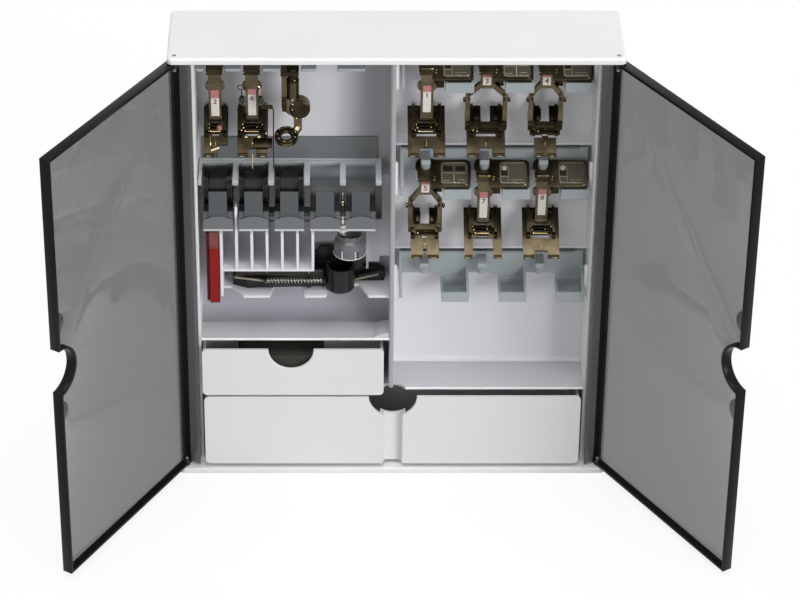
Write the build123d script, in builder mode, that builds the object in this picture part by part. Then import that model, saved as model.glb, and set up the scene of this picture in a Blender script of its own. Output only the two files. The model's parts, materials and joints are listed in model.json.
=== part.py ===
"""Sewing machine attachment box: a small standing cabinet with two wrap-round doors, two drawers,
bobbin cups, a needle rack and racks that the presser feet hang on.

Millimetres. X runs to the right, Y to the back and Z up. The origin is the middle of the base's underside.
"""
import os
from math import asin, cos, degrees, radians, sin

from build123d import *

os.makedirs("parts", exist_ok=True)

# Carcass
WIDTH = 250.0
DEPTH = 56.0
HEIGHT = 279.4
BASE_T = 3.4
LID_T = 3.8
CORNER_R = 3.0
FRONT = -DEPTH / 2
BACK = DEPTH / 2
LID_Z = HEIGHT - LID_T
BACK_T = 1.8
BACK_IN = BACK - BACK_T
LID_TOP_R = 1.4
SOFT_R = 0.5

# Side walls: a hollow section whose outer skin starts behind the sweep of the door's return
WALL_OUT_T = 2.0
WALL_IN_T = 1.5
WALL_IN_X = 110.8
WALL_FRONT = FRONT + 13.2
WALL_LIP_FRONT = FRONT + 9.0

# Inner liner, shelves and divider
SHELF_T = 1.6
SHELF_FRONT = FRONT + 8.0
FLANGE_Y = FRONT + 26.5
LINER_Y = FRONT + 37.0
LINER_T = 1.6
MID_SHELF_Z = 54.4
LEFT_SHELF_Z = 89.0
DIVIDER_X = (-2.4, 0.2)

# Doors
PIVOT_X = 120.9
PIVOT_Y = FRONT + 4.2
DOOR_LEN = 120.6
DOOR_FACE = 4.6
DOOR_T = 2.0
DOOR_RIM = 1.8
DOOR_RIM_DEPTH = 6.0
DOOR_Z = (3.7, 275.3)
DOOR_SIDE = WIDTH / 2 - PIVOT_X
RETURN_LEN = 7.1
KNUCKLE_T = 3.8
PIN_R = 1.2
PIN_FIT = 0.05
PIN_SOCKET = 2.2
NOTCH_R = 14.0
NOTCH_Z = 141.0
LEFT_OPEN = 120.9
RIGHT_OPEN = 122.7

# Drawers
DRAWER_Y = FRONT + 2.0
DRAWER_WALL = 1.6
DRAWER_BACK = LINER_Y - 1.0
LARGE_X = (-109.7, 109.3)
LARGE_Z = (5.6, 53.6)
SMALL_X = (-110.3, -5.5)
SMALL_Z = (54.9, 86.6)

# Foot racks on the right and the feet they carry
RAIL_TOPS = {"low": 136.3, "mid": 205.3, "top": 274.3}
RAIL_Y = FRONT + 30.0
STATIONS = (17.4, 50.4, 83.4)
POCKET_SHIFT = 17.8
POCKET_W = 15.8
POCKET_D = 17.0
RACK_WALL = 1.2
HOOK_Y = FRONT + 24.5
HOOK_DROP = 8.3
FOOT_TILT = 30.0
PEG_R = 2.6
SOCKET_R = 3.0

PLATE_X, PLATE_Y = 13.6, -4.8
PLATE_W, PLATE_H = 22.4, 17.0
WINDOW_X = 16.0
WINDOW_W, WINDOW_H = 15.4, 14.0
SOLE_TILT = 32.0
HEEL_SLOT_W = 5.2
FORK_STATIONS = (-100.0, -79.5, -58.0, -38.0)

# Ribs that locate the racks
RIB_Y = FRONT + 20.0
RIB_LEN = 22.0
RIB_W = 4.0
RIB_OUT = 1.6
RIB_DROP = 14.0

# Bobbins
BOBBIN_XS = (-99.5, -79.4, -59.3)
BOBBIN_R = 10.4
BOBBIN_Y = FRONT + 24.0
BOBBIN_Z = 185.2
CUP_R = 11.4

# Door and drawer details
PIN_REACH = 6.0
PAD_R = 7.5
PAD_SHIFT = 29.0
GROOVE_W = 5.8
GROOVE_D = 4.0
SMALL_NOTCH_X = -59.0

# Seam ripper: bottom, top of the handle, top of the cap
RIPPER_X, RIPPER_Y = -102.2, FRONT + 13.0
RIPPER_Z = (113.4, 150.0, 161.0)

# Walking foot, its socket, and the collar on its spindle above it
WALKER_Y, WALKER_Z = FRONT + 24.0, 118.9
WALKER_X = (-92.4, -39.2)
WALKER_SCREWS = (-72.0, -48.8)
SPRING_X, SPRING_R, SPRING_LEN = -73.0, 1.6, 32.6
CUP_X, CUP_Y = -30.6, FRONT + 18.6
CUP_Z, CUP_FLOOR, CUP_OUT_R, CUP_IN_R, CUP_H = 119.0, 4.0, 8.2, 6.7, 15.4
COLLAR_X = -25.2
COLLAR_Z = 143.0
SPINDLE_X, SPINDLE_Y = -29.15, FRONT + 22.0

# Swing-out rear feet
REAR_FOOT_X = 112.0
REAR_FOOT_Y = BACK - 6.0
REAR_ARM_L = 50.0
REAR_ARM_R = 5.0
REAR_POCKET_L = 58.0
REAR_POCKET_R = 6.0
REAR_POCKET_H = 2.3


def foot_shape(width, slot, hole, fork=0.0, drop=53.0, plate=True, narrow=0.0, wall=7.2, neck=0.0, cut=0.0):
    """The sizes that make one presser foot differ from the next."""
    return {"width": width, "slot": slot, "hole": hole, "fork": fork, "drop": drop, "plate": plate,
            "narrow": narrow, "wall": wall, "neck": neck, "cut": cut}


FEET = {
    "foot_overlock": (-100.0, "top", foot_shape(13.6, (0.8, 1.0), (4.0, 2.2), plate=False, wall=5.0, cut=5.4)),
    "foot_embroidery": (-79.5, "top", foot_shape(17.0, (4.0, 5.0), (7.0, 2.2), plate=False, wall=7.0)),
    "foot_reverse": (17.4, "top", foot_shape(20.8, (7.3, 5.5), (11.0, 2.2))),
    "foot_buttonhole": (50.4, "top", foot_shape(21.4, (6.6, 5.5), (11.0, 2.2), fork=11.6, wall=8.0)),
    "foot_zip": (83.4, "top", foot_shape(17.0, (1.0, 1.0), (3.0, 1.6), fork=9.6, narrow=12.4, wall=6.4, neck=3.4)),
    "foot_straight": (17.4, "mid", foot_shape(16.2, (1.8, 7.0), (3.0, 1.6), fork=9.6, drop=51.2, wall=6.6)),
    "foot_open_toe": (50.4, "mid", foot_shape(21.4, (11.4, 12.5), (5.0, 1.2), drop=51.2)),
    "foot_jeans": (83.4, "mid", foot_shape(20.8, (7.0, 4.5), (10.0, 2.4), drop=51.2)),
}


def save(part, name):
    """Labels a finished sub-part and writes its STEP file."""
    part.label = name
    export_step(part, f"parts/{name}.step")


YZ = Plane(origin=(0, 0, 0), x_dir=(0, 1, 0), z_dir=(1, 0, 0))


# ---------------------------------------------------------------- carcass
def make_base_plate():
    """Base plate with pockets under its rear corners for the swing-out feet, and sockets for the door pins."""
    with BuildPart() as base:
        with BuildSketch():
            RectangleRounded(WIDTH, DEPTH, CORNER_R)
        extrude(amount=BASE_T)
        fillet(base.edges().group_by(Axis.Z)[-1], 0.6)
        with BuildSketch():
            with Locations((REAR_FOOT_X, REAR_FOOT_Y), (-REAR_FOOT_X, REAR_FOOT_Y)):
                Circle(REAR_POCKET_R)
            with Locations((REAR_FOOT_X - REAR_POCKET_L / 2, REAR_FOOT_Y + REAR_POCKET_R / 2),
                           (-REAR_FOOT_X + REAR_POCKET_L / 2, REAR_FOOT_Y + REAR_POCKET_R / 2)):
                Rectangle(REAR_POCKET_L, 3 * REAR_POCKET_R)
            with Locations((REAR_FOOT_X, REAR_FOOT_Y + REAR_POCKET_R / 2),
                           (-REAR_FOOT_X, REAR_FOOT_Y + REAR_POCKET_R / 2)):
                Rectangle(2 * REAR_POCKET_R, 3 * REAR_POCKET_R)
        extrude(amount=REAR_POCKET_H, mode=Mode.SUBTRACT)
        with BuildSketch(Plane.XY.offset(BASE_T - PIN_SOCKET)):
            with Locations((PIVOT_X, PIVOT_Y), (-PIVOT_X, PIVOT_Y)):
                Circle(PIN_R)
        extrude(amount=PIN_SOCKET, mode=Mode.SUBTRACT)
    return base.part


def make_lid():
    """Flat lid with soft corners, drilled through for the two top door pins."""
    with BuildPart() as lid:
        with BuildSketch(Plane.XY.offset(LID_Z)):
            RectangleRounded(WIDTH, DEPTH, CORNER_R)
        extrude(amount=LID_T)
        fillet(lid.edges().group_by(Axis.Z)[-1], LID_TOP_R)
        fillet(lid.edges().group_by(Axis.Z)[0], SOFT_R)
        with BuildSketch(Plane.XY.offset(LID_Z)):
            with Locations((PIVOT_X, PIVOT_Y), (-PIVOT_X, PIVOT_Y)):
                Circle(PIN_R)
        extrude(amount=LID_T, mode=Mode.SUBTRACT)
    return lid.part


def make_back_panel():
    """Plain back panel, set in a little at both sides, with rounded upright corners."""
    inset, corner_r = 0.5, 1.2
    with BuildPart() as back:
        with BuildSketch(Plane.XY.offset(BASE_T)):
            with Locations((0, (BACK_IN + BACK) / 2)):
                Rectangle(WIDTH - 2 * inset, BACK_T)
        extrude(amount=LID_Z - BASE_T)
        fillet(back.edges().filter_by(Axis.Z).group_by(Axis.Y)[-1], corner_r)
    return back.part


def make_side_wall(side):
    """Closed channel section, mirrored by side, with ribs that locate the racks on its inner skin."""
    inner = side * WALL_IN_X
    skin = side * (WALL_IN_X + WALL_IN_T)
    outer = side * WIDTH / 2
    shell = side * (WIDTH / 2 - WALL_OUT_T)
    with BuildPart() as wall:
        with BuildSketch(Plane.XY.offset(BASE_T)):
            with BuildLine():
                Polyline((inner, WALL_LIP_FRONT), (inner, BACK_IN), (outer, BACK_IN), (outer, WALL_FRONT),
                         (skin, WALL_FRONT), (skin, WALL_LIP_FRONT), close=True)
            make_face()
            with BuildLine():
                Polyline((skin, WALL_FRONT + WALL_OUT_T), (skin, BACK_IN - WALL_OUT_T),
                         (shell, BACK_IN - WALL_OUT_T), (shell, WALL_FRONT + WALL_OUT_T), close=True)
            make_face(mode=Mode.SUBTRACT)
        extrude(amount=LID_Z - BASE_T)
        fillet(wall.edges().filter_by(Axis.Z).filter_by_position(Axis.Y, WALL_FRONT - 0.1, WALL_FRONT + 0.1)
               .sort_by(Axis.X)[-1 if side > 0 else 0], 1.5)
        if side > 0:
            rib_plane = Plane(origin=(inner, 0, 0), x_dir=(0, 1, 0), z_dir=(-1, 0, 0))
            with BuildSketch(rib_plane):
                with Locations(*[(RIB_Y, RIB_DROP - top) for top in RAIL_TOPS.values()]):
                    SlotOverall(RIB_LEN, RIB_W, rotation=90)
            extrude(amount=RIB_OUT)
    return wall.part


def make_divider():
    """Upright divider between the two columns, with the same rack ribs on its right face."""
    x0, x1 = DIVIDER_X
    with BuildPart() as divider:
        with BuildSketch(Plane.XY.offset(MID_SHELF_Z + SHELF_T)):
            with Locations(((x0 + x1) / 2, (SHELF_FRONT + LINER_Y) / 2)):
                Rectangle(x1 - x0, LINER_Y - SHELF_FRONT)
        extrude(amount=LID_Z - MID_SHELF_Z - SHELF_T)
        fillet(divider.edges().filter_by(Axis.Z).group_by(Axis.Y)[0], 0.7)
        with BuildSketch(Plane(origin=(x1, 0, 0), x_dir=(0, 1, 0), z_dir=(1, 0, 0))):
            with Locations(*[(RIB_Y, top - RIB_DROP) for top in RAIL_TOPS.values()]):
                SlotOverall(RIB_LEN, RIB_W, rotation=90)
        extrude(amount=RIB_OUT)
    return divider.part


def make_mid_shelf():
    """Full-width shelf over the large drawer, scalloped at the middle for a finger."""
    scallop_r, scallop_out = 8.0, 3.0
    with BuildPart() as shelf:
        with BuildSketch(Plane.XY.offset(MID_SHELF_Z)):
            with Locations((0, (SHELF_FRONT + BACK_IN) / 2)):
                Rectangle(2 * WALL_IN_X, BACK_IN - SHELF_FRONT)
            with Locations((0, SHELF_FRONT - scallop_out)):
                Circle(scallop_r, mode=Mode.SUBTRACT)
        extrude(amount=SHELF_T)
        fillet(shelf.edges().filter_by(Axis.X).group_by(Axis.Y)[0], SOFT_R)
    return shelf.part


def make_left_shelf():
    """Shelf over the small drawer. Its right front corner drops in a small curved gusset to the divider."""
    x0, x1 = -WALL_IN_X, DIVIDER_X[0]
    top, gusset_w, gusset_h, gusset_r, gusset_len = LEFT_SHELF_Z + SHELF_T, 9.0, 3.0, 16.0, 14.0
    with BuildPart() as shelf:
        with BuildSketch(Plane.XY.offset(LEFT_SHELF_Z)):
            with Locations(((x0 + x1) / 2, (SHELF_FRONT + LINER_Y) / 2)):
                Rectangle(x1 - x0, LINER_Y - SHELF_FRONT)
        extrude(amount=SHELF_T)
        fillet(shelf.edges().filter_by(Axis.X).group_by(Axis.Y)[0], SOFT_R)
        with BuildSketch(Plane.XZ.offset(-SHELF_FRONT - 1.0)):
            with BuildLine():
                Line((x1, top), (x1 - gusset_w, top))
                RadiusArc((x1 - gusset_w, top), (x1, top + gusset_h), gusset_r)
                Line((x1, top + gusset_h), (x1, top))
            make_face()
        extrude(amount=-gusset_len)
    return shelf.part


def coved_strip(x0, x1, floor_z, top_z, cove_r):
    """A liner's upright skin with a concave cove of radius cove_r where it meets the shelf at floor_z."""
    with BuildPart() as strip:
        with BuildSketch(YZ.offset(x0)):
            with BuildLine():
                Line((LINER_Y - cove_r, floor_z), (LINER_Y + LINER_T, floor_z))
                Line((LINER_Y + LINER_T, floor_z), (LINER_Y + LINER_T, top_z))
                Line((LINER_Y + LINER_T, top_z), (LINER_Y, top_z))
                Line((LINER_Y, top_z), (LINER_Y, floor_z + cove_r))
                CenterArc((LINER_Y - cove_r, floor_z + cove_r), cove_r, 0, -90)
            make_face()
        extrude(amount=x1 - x0)
    return strip.part


def make_left_liner():
    """Back of the left column, swept up from the shelf in a wide cove, with a stepped flange beside the bobbins."""
    with BuildPart() as liner:
        add(coved_strip(-WALL_IN_X, DIVIDER_X[0], LEFT_SHELF_Z + SHELF_T, LID_Z, 12.0))
        with BuildSketch(Plane.XY.offset(MID_SHELF_Z + SHELF_T)):
            with Locations(((-WALL_IN_X + DIVIDER_X[0]) / 2, LINER_Y + LINER_T / 2)):
                Rectangle(WALL_IN_X + DIVIDER_X[0], LINER_T)
        extrude(amount=LEFT_SHELF_Z + SHELF_T - MID_SHELF_Z - SHELF_T)
        with BuildSketch(Plane.XZ.offset(-FLANGE_Y)):
            with BuildLine():
                Polyline((DIVIDER_X[0], 190.0), (-7.0, 190.0), (-7.0, 160.0), (-15.8, 160.0), (-15.8, 126.6),
                         (-14.4, 126.6), (-14.4, 131.4), (-8.0, 131.4), (-8.0, 135.4), (DIVIDER_X[0], 135.4),
                         close=True)
            make_face()
        extrude(amount=-1.5)
        with BuildSketch(Plane.XY.offset(142.0)):
            with Locations(((DIVIDER_X[0] - 7.0) / 2, (FLANGE_Y + LINER_Y) / 2)):
                Rectangle(7.0 + DIVIDER_X[0], LINER_Y - FLANGE_Y)
        extrude(amount=48.0)
    return liner.part


def make_right_liner():
    """Back of the right column. A curved lip rolls forward out of it just above each foot rack."""
    x0, x1 = DIVIDER_X[1], WALL_IN_X
    lip_r = LINER_Y - RAIL_Y + 0.5
    lip_h = 11.8
    with BuildPart() as liner:
        add(coved_strip(x0, x1, MID_SHELF_Z + SHELF_T, LID_Z, 3.0))
        for top in (RAIL_TOPS["low"], RAIL_TOPS["mid"]):
            foot = top + 2.2
            with BuildSketch(YZ.offset(x0)):
                with BuildLine():
                    Line((LINER_Y + 0.4, foot), (LINER_Y - lip_r, foot))
                    Line((LINER_Y - lip_r, foot), (LINER_Y - lip_r, foot + 1.2))
                    curl = (lip_h**2 + lip_r**2) / (2 * lip_r)
                    sweep = degrees(asin(lip_h / curl))
                    CenterArc((LINER_Y - curl, foot + 1.2 + lip_h), curl, -sweep, sweep)
                    Line((LINER_Y, foot + 1.2 + lip_h), (LINER_Y + 0.4, foot + 1.2 + lip_h))
                    Line((LINER_Y + 0.4, foot + 1.2 + lip_h), (LINER_Y + 0.4, foot))
                make_face()
            extrude(amount=x1 - x0)
    return liner.part


def make_scalloped_shelf():
    """Shelf under the needle rack: three tongues reach forward between rounded finger scallops."""
    z0 = 117.0
    tongue, scallop = FRONT + 10.5, FRONT + 22.5
    edge = [(-98.0, scallop - 2.0), (-92.9, scallop - 2.0), (-86.0, tongue), (-70.8, tongue), (-68.3, scallop),
            (-52.8, scallop), (-51.3, tongue), (-38.8, tongue), (-36.8, scallop), (-19.6, scallop),
            (-14.6, tongue), (DIVIDER_X[0], tongue)]
    with BuildPart() as shelf:
        with BuildSketch(Plane.XY.offset(z0)):
            with BuildLine():
                Polyline(*edge, (DIVIDER_X[0], LINER_Y), (-98.0, LINER_Y), close=True)
            make_face()
        extrude(amount=SHELF_T)
        corners = shelf.edges().filter_by(Axis.Z).filter_by_position(Axis.X, -97.0, -3.0)
        fillet(corners, 1.0)
    return shelf.part


def make_needle_rack():
    """Open-fronted rack: seven walls stand on one coved trough. The first two walls run on past the trough."""
    x0, pitch, wall, n = -98.8, 8.65, 1.5, 7
    front, floor_z, top_z = FRONT + 10.0, 135.4, 162.6
    back = LINER_Y
    cove = 16.0
    with BuildPart() as rack:
        with BuildSketch(YZ.offset(x0)):
            with BuildLine():
                Line((front, floor_z), (back, floor_z))
                Line((back, floor_z), (back, floor_z + 1.5 + cove))
                CenterArc((back - cove, floor_z + 1.5 + cove), cove, 0, -90)
                Line((back - cove, floor_z + 1.5), (front, floor_z + 1.5))
                Line((front, floor_z + 1.5), (front, floor_z))
            make_face()
        extrude(amount=pitch * (n - 1) + wall)
        for i in range(n):
            low = floor_z if i else 118.6
            with BuildSketch(YZ.offset(x0 + i * pitch)):
                with BuildLine():
                    Polyline((front, low), (back, low), (back, top_z), (front + 2.0, top_z), (front, top_z - 2.0),
                             close=True)
                make_face()
            extrude(amount=wall)
        with BuildSketch(YZ.offset(x0 + pitch)):
            with BuildLine():
                Polyline((front + 2.0, top_z - 4.0), (front + 12.0, top_z - 4.0), (front + 12.0, 176.0),
                         (front + 4.0, 176.0), (front + 2.0, 173.0), close=True)
            make_face()
        extrude(amount=wall)
    return rack.part


def make_bobbin_holder():
    """Five bobbin cups hung from one top rail, with a bridge over each gap, domed lips and a plate behind."""
    x_first, pitch, cup_w, n = BOBBIN_XS[0], 20.1, 16.8, 5
    lip_y, back, top_z, gap = FRONT + 9.0, LINER_Y, 194.6, 3.3
    lip_low, lip_side, lip_mid, plate_z = 163.2, 170.2, 172.8, 209.0
    cy, cz, r = BOBBIN_Y, BOBBIN_Z, CUP_R
    rail_x = x_first - cup_w / 2 - 1.2
    with BuildPart() as holder:
        for i in range(n):
            left = x_first + i * pitch - cup_w / 2
            with BuildSketch(YZ.offset(left)):
                with BuildLine():
                    Line((lip_y, lip_low), (lip_y, lip_side))
                    Line((lip_y, lip_side), (lip_y + 4.0, cz - r))
                    Line((lip_y + 4.0, cz - r), (cy, cz - r))
                    CenterArc((cy, cz), r, 270, 90)
                    Line((cy + r, cz), (cy + r, top_z))
                    Line((cy + r, top_z), (back, top_z))
                    Line((back, top_z), (back, cz))
                    CenterArc((cy, cz), back - cy, 0, -90)
                    Line((cy, cz - back + cy), (cy - 4.0, lip_low))
                    Line((cy - 4.0, lip_low), (lip_y, lip_low))
                make_face()
            extrude(amount=cup_w)
            with BuildSketch(Plane(origin=(left + cup_w / 2, lip_y, 0), x_dir=(1, 0, 0), z_dir=(0, -1, 0))):
                with BuildLine():
                    Polyline((-cup_w / 2, lip_side), (-cup_w / 2, lip_low), (cup_w / 2, lip_low),
                             (cup_w / 2, lip_side))
                    ThreePointArc((cup_w / 2, lip_side), (0, lip_mid), (-cup_w / 2, lip_side))
                make_face()
            extrude(amount=-4.0)
            with BuildSketch(YZ.offset(left)):
                with Locations(((cy + r + lip_y + 6.0) / 2, cz - r + 0.5)):
                    Rectangle(cy + r - lip_y - 6.0 - 8.0, 1.0)
            extrude(amount=2.6)
        with BuildSketch(YZ.offset(rail_x)):
            with Locations(((back + cy + r - 3.0) / 2, top_z - 1.2)):
                Rectangle(back - cy - r + 3.0, 2.4)
        extrude(amount=(n - 1) * pitch + cup_w + 2.4)
        with BuildSketch(YZ.offset(rail_x)):
            with BuildLine():
                Polyline((back - 1.4, top_z), (back, top_z), (back, plate_z), (back - 0.8, plate_z), close=True)
            make_face()
        extrude(amount=(n - 1) * pitch + cup_w + 2.4)
        with BuildSketch(YZ.offset(x_first + pitch)):
            with Locations((lip_y + 8.45, lip_mid - 1.8)):
                Rectangle(6.9, 2.0)
        extrude(amount=(n - 2) * pitch)
        for i in range(n + 1):
            gap_x = max(x_first - pitch / 2 + i * pitch - gap / 2, 0.5 - WALL_IN_X)
            with BuildSketch(YZ.offset(gap_x)):
                with BuildLine():
                    Polyline((FRONT + 11.0, top_z), (back, top_z), (back, top_z - 6.0), (cy, top_z - 2.4),
                             (FRONT + 11.0, top_z - 2.4), close=True)
                make_face()
            extrude(amount=gap if i else 2.0)
    return holder.part


def make_fork_rail():
    """Rack across the top of the left column: a forked plate that the first three feet hang in."""
    x0, x1 = -110.4, -17.0
    front, z = FRONT + 17.0, 262.0
    with BuildPart() as rail:
        with BuildSketch(Plane.XY.offset(z)):
            with BuildLine():
                Polyline((x0, front), (x1, front), (x1, LINER_Y), (x0, LINER_Y), close=True)
            make_face()
            with Locations(*[(x, front + 6.0) for x in FORK_STATIONS]):
                Rectangle(11.6, 14.0, mode=Mode.SUBTRACT)
        extrude(amount=1.8)
        with BuildSketch(Plane.XY.offset(z)):
            with Locations(((x0 + x1) / 2, LINER_Y - 1.0)):
                Rectangle(x1 - x0, 2.0)
        extrude(amount=11.0)
        tips = rail.edges().filter_by(Axis.Z).filter_by_position(Axis.Y, front - 0.1, front + 0.1)
        fillet(tips, 1.0)
        with BuildSketch(Plane.XY.offset(z)):
            with Locations(*[(x, LINER_Y - 5.0) for x in FORK_STATIONS]):
                Rectangle(5.0, 10.0)
        extrude(amount=1.8)
    return rail.part


def make_foot_rail(top):
    """One rack of the right column: three pegs, each with a square pocket and its raised side wall to the right."""
    x0, x1 = DIVIDER_X[1] + 3.0, 108.8
    rim = top - 17.3
    floor = top - 23.6
    gusset_t, gusset_rise = 1.5, 7.2
    hook = Plane(origin=(0, HOOK_Y, top - HOOK_DROP), x_dir=(1, 0, 0),
                 z_dir=(0, -sin(radians(FOOT_TILT)), cos(radians(FOOT_TILT))))
    with BuildPart() as rail:
        with BuildSketch(YZ.offset(x0)):
            with BuildLine():
                Polyline((RAIL_Y, top - 14.6), (RAIL_Y, top - 1.0), (RAIL_Y + 1.0, top), (LINER_Y, top),
                         (LINER_Y, top - 2.0), (RAIL_Y + 1.6, top - 2.0), (RAIL_Y + 1.6, top - 14.6), close=True)
            make_face()
        extrude(amount=x1 - x0)
        with BuildSketch(YZ.offset(x0)):
            with BuildLine():
                Polyline((RAIL_Y + 1.6, floor), (RAIL_Y - 13.0, floor), (RAIL_Y - 13.0, top - 17.0),
                         (RAIL_Y, top - 4.0), (RAIL_Y + 1.6, top - 4.0), close=True)
            make_face()
        extrude(amount=1.8)
        for x in STATIONS:
            with BuildSketch(Plane.XY.offset(floor)):
                with Locations((x + POCKET_SHIFT, RAIL_Y - POCKET_D / 2)):
                    Rectangle(POCKET_W, POCKET_D)
            extrude(amount=rim - floor)
            with BuildSketch(Plane.XY.offset(floor + RACK_WALL)):
                with Locations((x + POCKET_SHIFT, RAIL_Y - POCKET_D / 2)):
                    Rectangle(POCKET_W - 2 * RACK_WALL, POCKET_D - 2 * RACK_WALL)
            extrude(amount=rim - floor, mode=Mode.SUBTRACT)
            with BuildSketch(Plane.XY.offset(floor)):
                with Locations((x + POCKET_SHIFT, RAIL_Y + 0.8)):
                    Rectangle(POCKET_W, 1.6)
            extrude(amount=top - 14.6 - floor)
            with BuildSketch(YZ.offset(x + POCKET_SHIFT + POCKET_W / 2 - gusset_t)):
                with BuildLine():
                    Polyline((RAIL_Y - POCKET_D, floor), (RAIL_Y - POCKET_D, rim), (RAIL_Y, rim + gusset_rise),
                             (RAIL_Y + 1.6, rim + gusset_rise), (RAIL_Y + 1.6, floor), close=True)
                make_face()
            extrude(amount=gusset_t)
            with BuildSketch(Plane.XY.offset(top - 4.8)):
                with Locations((x, RAIL_Y - 5.2)):
                    Rectangle(5.0, 10.4)
            extrude(amount=3.0)
            with BuildSketch(hook.offset(-2.4)):
                with Locations((x, 0)):
                    Circle(PEG_R)
            extrude(amount=7.2)
    return rail.part


# ---------------------------------------------------------------- doors
def make_door(side, opening):
    """Wrap-round tray door, built at its opening angle. side is -1 for the left door and 1 for the right.

    The rim is made of bars that butt on the panel and are kept as separate solids, so that each bar keeps its
    own collision hull and the shut door clears the drawers.
    """
    a = radians(opening)
    along = (-side * cos(a), -sin(a), 0)
    inward = (-side * sin(a), cos(a), 0)
    mid = sum(DOOR_Z) / 2
    tall = DOOR_Z[1] - DOOR_Z[0]
    notch_w = side * (NOTCH_Z - mid)
    pivot = (side * PIVOT_X, PIVOT_Y, mid)
    rim_h = DOOR_RIM_DEPTH - DOOR_T
    bar_x0 = DOOR_T - DOOR_SIDE
    edge_x = DOOR_LEN - DOOR_RIM

    def face_at(depth):
        origin = tuple(p + depth * n for p, n in zip(pivot, inward))
        return Plane(origin=origin, x_dir=along, z_dir=inward)

    with BuildPart() as panel:
        with BuildSketch(face_at(-DOOR_FACE)):
            with Locations(((DOOR_LEN - DOOR_SIDE) / 2, 0)):
                Rectangle(DOOR_LEN + DOOR_SIDE, tall)
            with Locations((DOOR_LEN, notch_w)):
                Circle(NOTCH_R, mode=Mode.SUBTRACT)
        extrude(amount=DOOR_T)
        with BuildSketch(face_at(DOOR_T - DOOR_FACE)):
            with Locations((edge_x, notch_w - PAD_SHIFT), (edge_x, notch_w + PAD_SHIFT)):
                Circle(PAD_R)
            with Locations((edge_x - PAD_R / 2, notch_w)):
                Rectangle(PAD_R, 4 * PAD_SHIFT, mode=Mode.INTERSECT)
        extrude(amount=1.2)
        corner = [p - DOOR_SIDE * u - DOOR_FACE * n for p, u, n in zip(pivot, along, inward)]
        fillet(panel.edges().filter_by(Axis.Z).sort_by_distance(Vector(*corner))[0], 1.9)
        front = [p + DOOR_LEN * u - DOOR_FACE * n for p, u, n in zip(pivot, along, inward)]
        for z in (mid - 60.0, mid + 60.0):
            fillet(panel.edges().filter_by(Axis.Z).sort_by_distance(Vector(*front[:2], z))[0], 0.9)

    with BuildPart() as leaf:
        with BuildSketch(face_at(DOOR_T - DOOR_FACE)):
            with Locations((DOOR_T / 2 - DOOR_SIDE, 0)):
                Rectangle(DOOR_T, tall)
        extrude(amount=DOOR_FACE - DOOR_T + RETURN_LEN)

    with BuildPart() as bars:
        with BuildSketch(face_at(DOOR_T - DOOR_FACE)):
            for v in (-tall / 2 + DOOR_RIM / 2, tall / 2 - DOOR_RIM / 2):
                with Locations(((edge_x + DOOR_SIDE) / 2, v)):
                    Rectangle(edge_x - DOOR_SIDE, DOOR_RIM)
        extrude(amount=rim_h)

    with BuildPart() as edges:
        with BuildSketch(face_at(DOOR_T - DOOR_FACE)):
            with Locations((DOOR_LEN - DOOR_RIM / 2, 0)):
                Rectangle(DOOR_RIM, tall)
            with Locations((DOOR_LEN, notch_w)):
                Circle(NOTCH_R + DOOR_RIM, mode=Mode.SUBTRACT)
        extrude(amount=rim_h)

    with BuildPart() as arc:
        with BuildSketch(face_at(DOOR_T - DOOR_FACE)):
            with Locations((DOOR_LEN, notch_w)):
                Circle(NOTCH_R + DOOR_RIM)
                Circle(NOTCH_R, mode=Mode.SUBTRACT)
            with Locations((DOOR_LEN - NOTCH_R, notch_w)):
                Rectangle(2 * NOTCH_R, 4 * NOTCH_R, mode=Mode.INTERSECT)
        extrude(amount=rim_h)

    with BuildPart() as knuckles:
        for z in (DOOR_Z[0], DOOR_Z[1] - KNUCKLE_T):
            with BuildSketch(Plane.XY.offset(z)):
                with Locations(pivot[:2]):
                    Circle(DOOR_SIDE - 0.1)
            extrude(amount=KNUCKLE_T)
        add(panel.part, mode=Mode.SUBTRACT)
        add(leaf.part, mode=Mode.SUBTRACT)
        add(bars.part, mode=Mode.SUBTRACT)
        for z in (DOOR_Z[0], DOOR_Z[1] - PIN_REACH):
            with BuildSketch(Plane.XY.offset(z)):
                with Locations(pivot[:2]):
                    Circle(PIN_R + PIN_FIT)
            extrude(amount=PIN_REACH, mode=Mode.SUBTRACT)
    pieces = [solid for group in (panel, leaf, bars, edges, arc, knuckles) for solid in group.part.solids()]
    return Compound(children=pieces)


def make_hinge_pins():
    """Four short pins, one at each end of each door. They are pressed into the base plate and the lid."""
    with BuildPart() as pins:
        for z0, z1 in ((BASE_T - 2.2, DOOR_Z[0] + PIN_REACH - 0.4), (DOOR_Z[1] - PIN_REACH + 0.4, HEIGHT - 0.15)):
            with BuildSketch(Plane.XY.offset(z0)):
                with Locations((PIVOT_X, PIVOT_Y), (-PIVOT_X, PIVOT_Y)):
                    Circle(PIN_R)
            extrude(amount=z1 - z0)
    return pins.part


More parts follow.
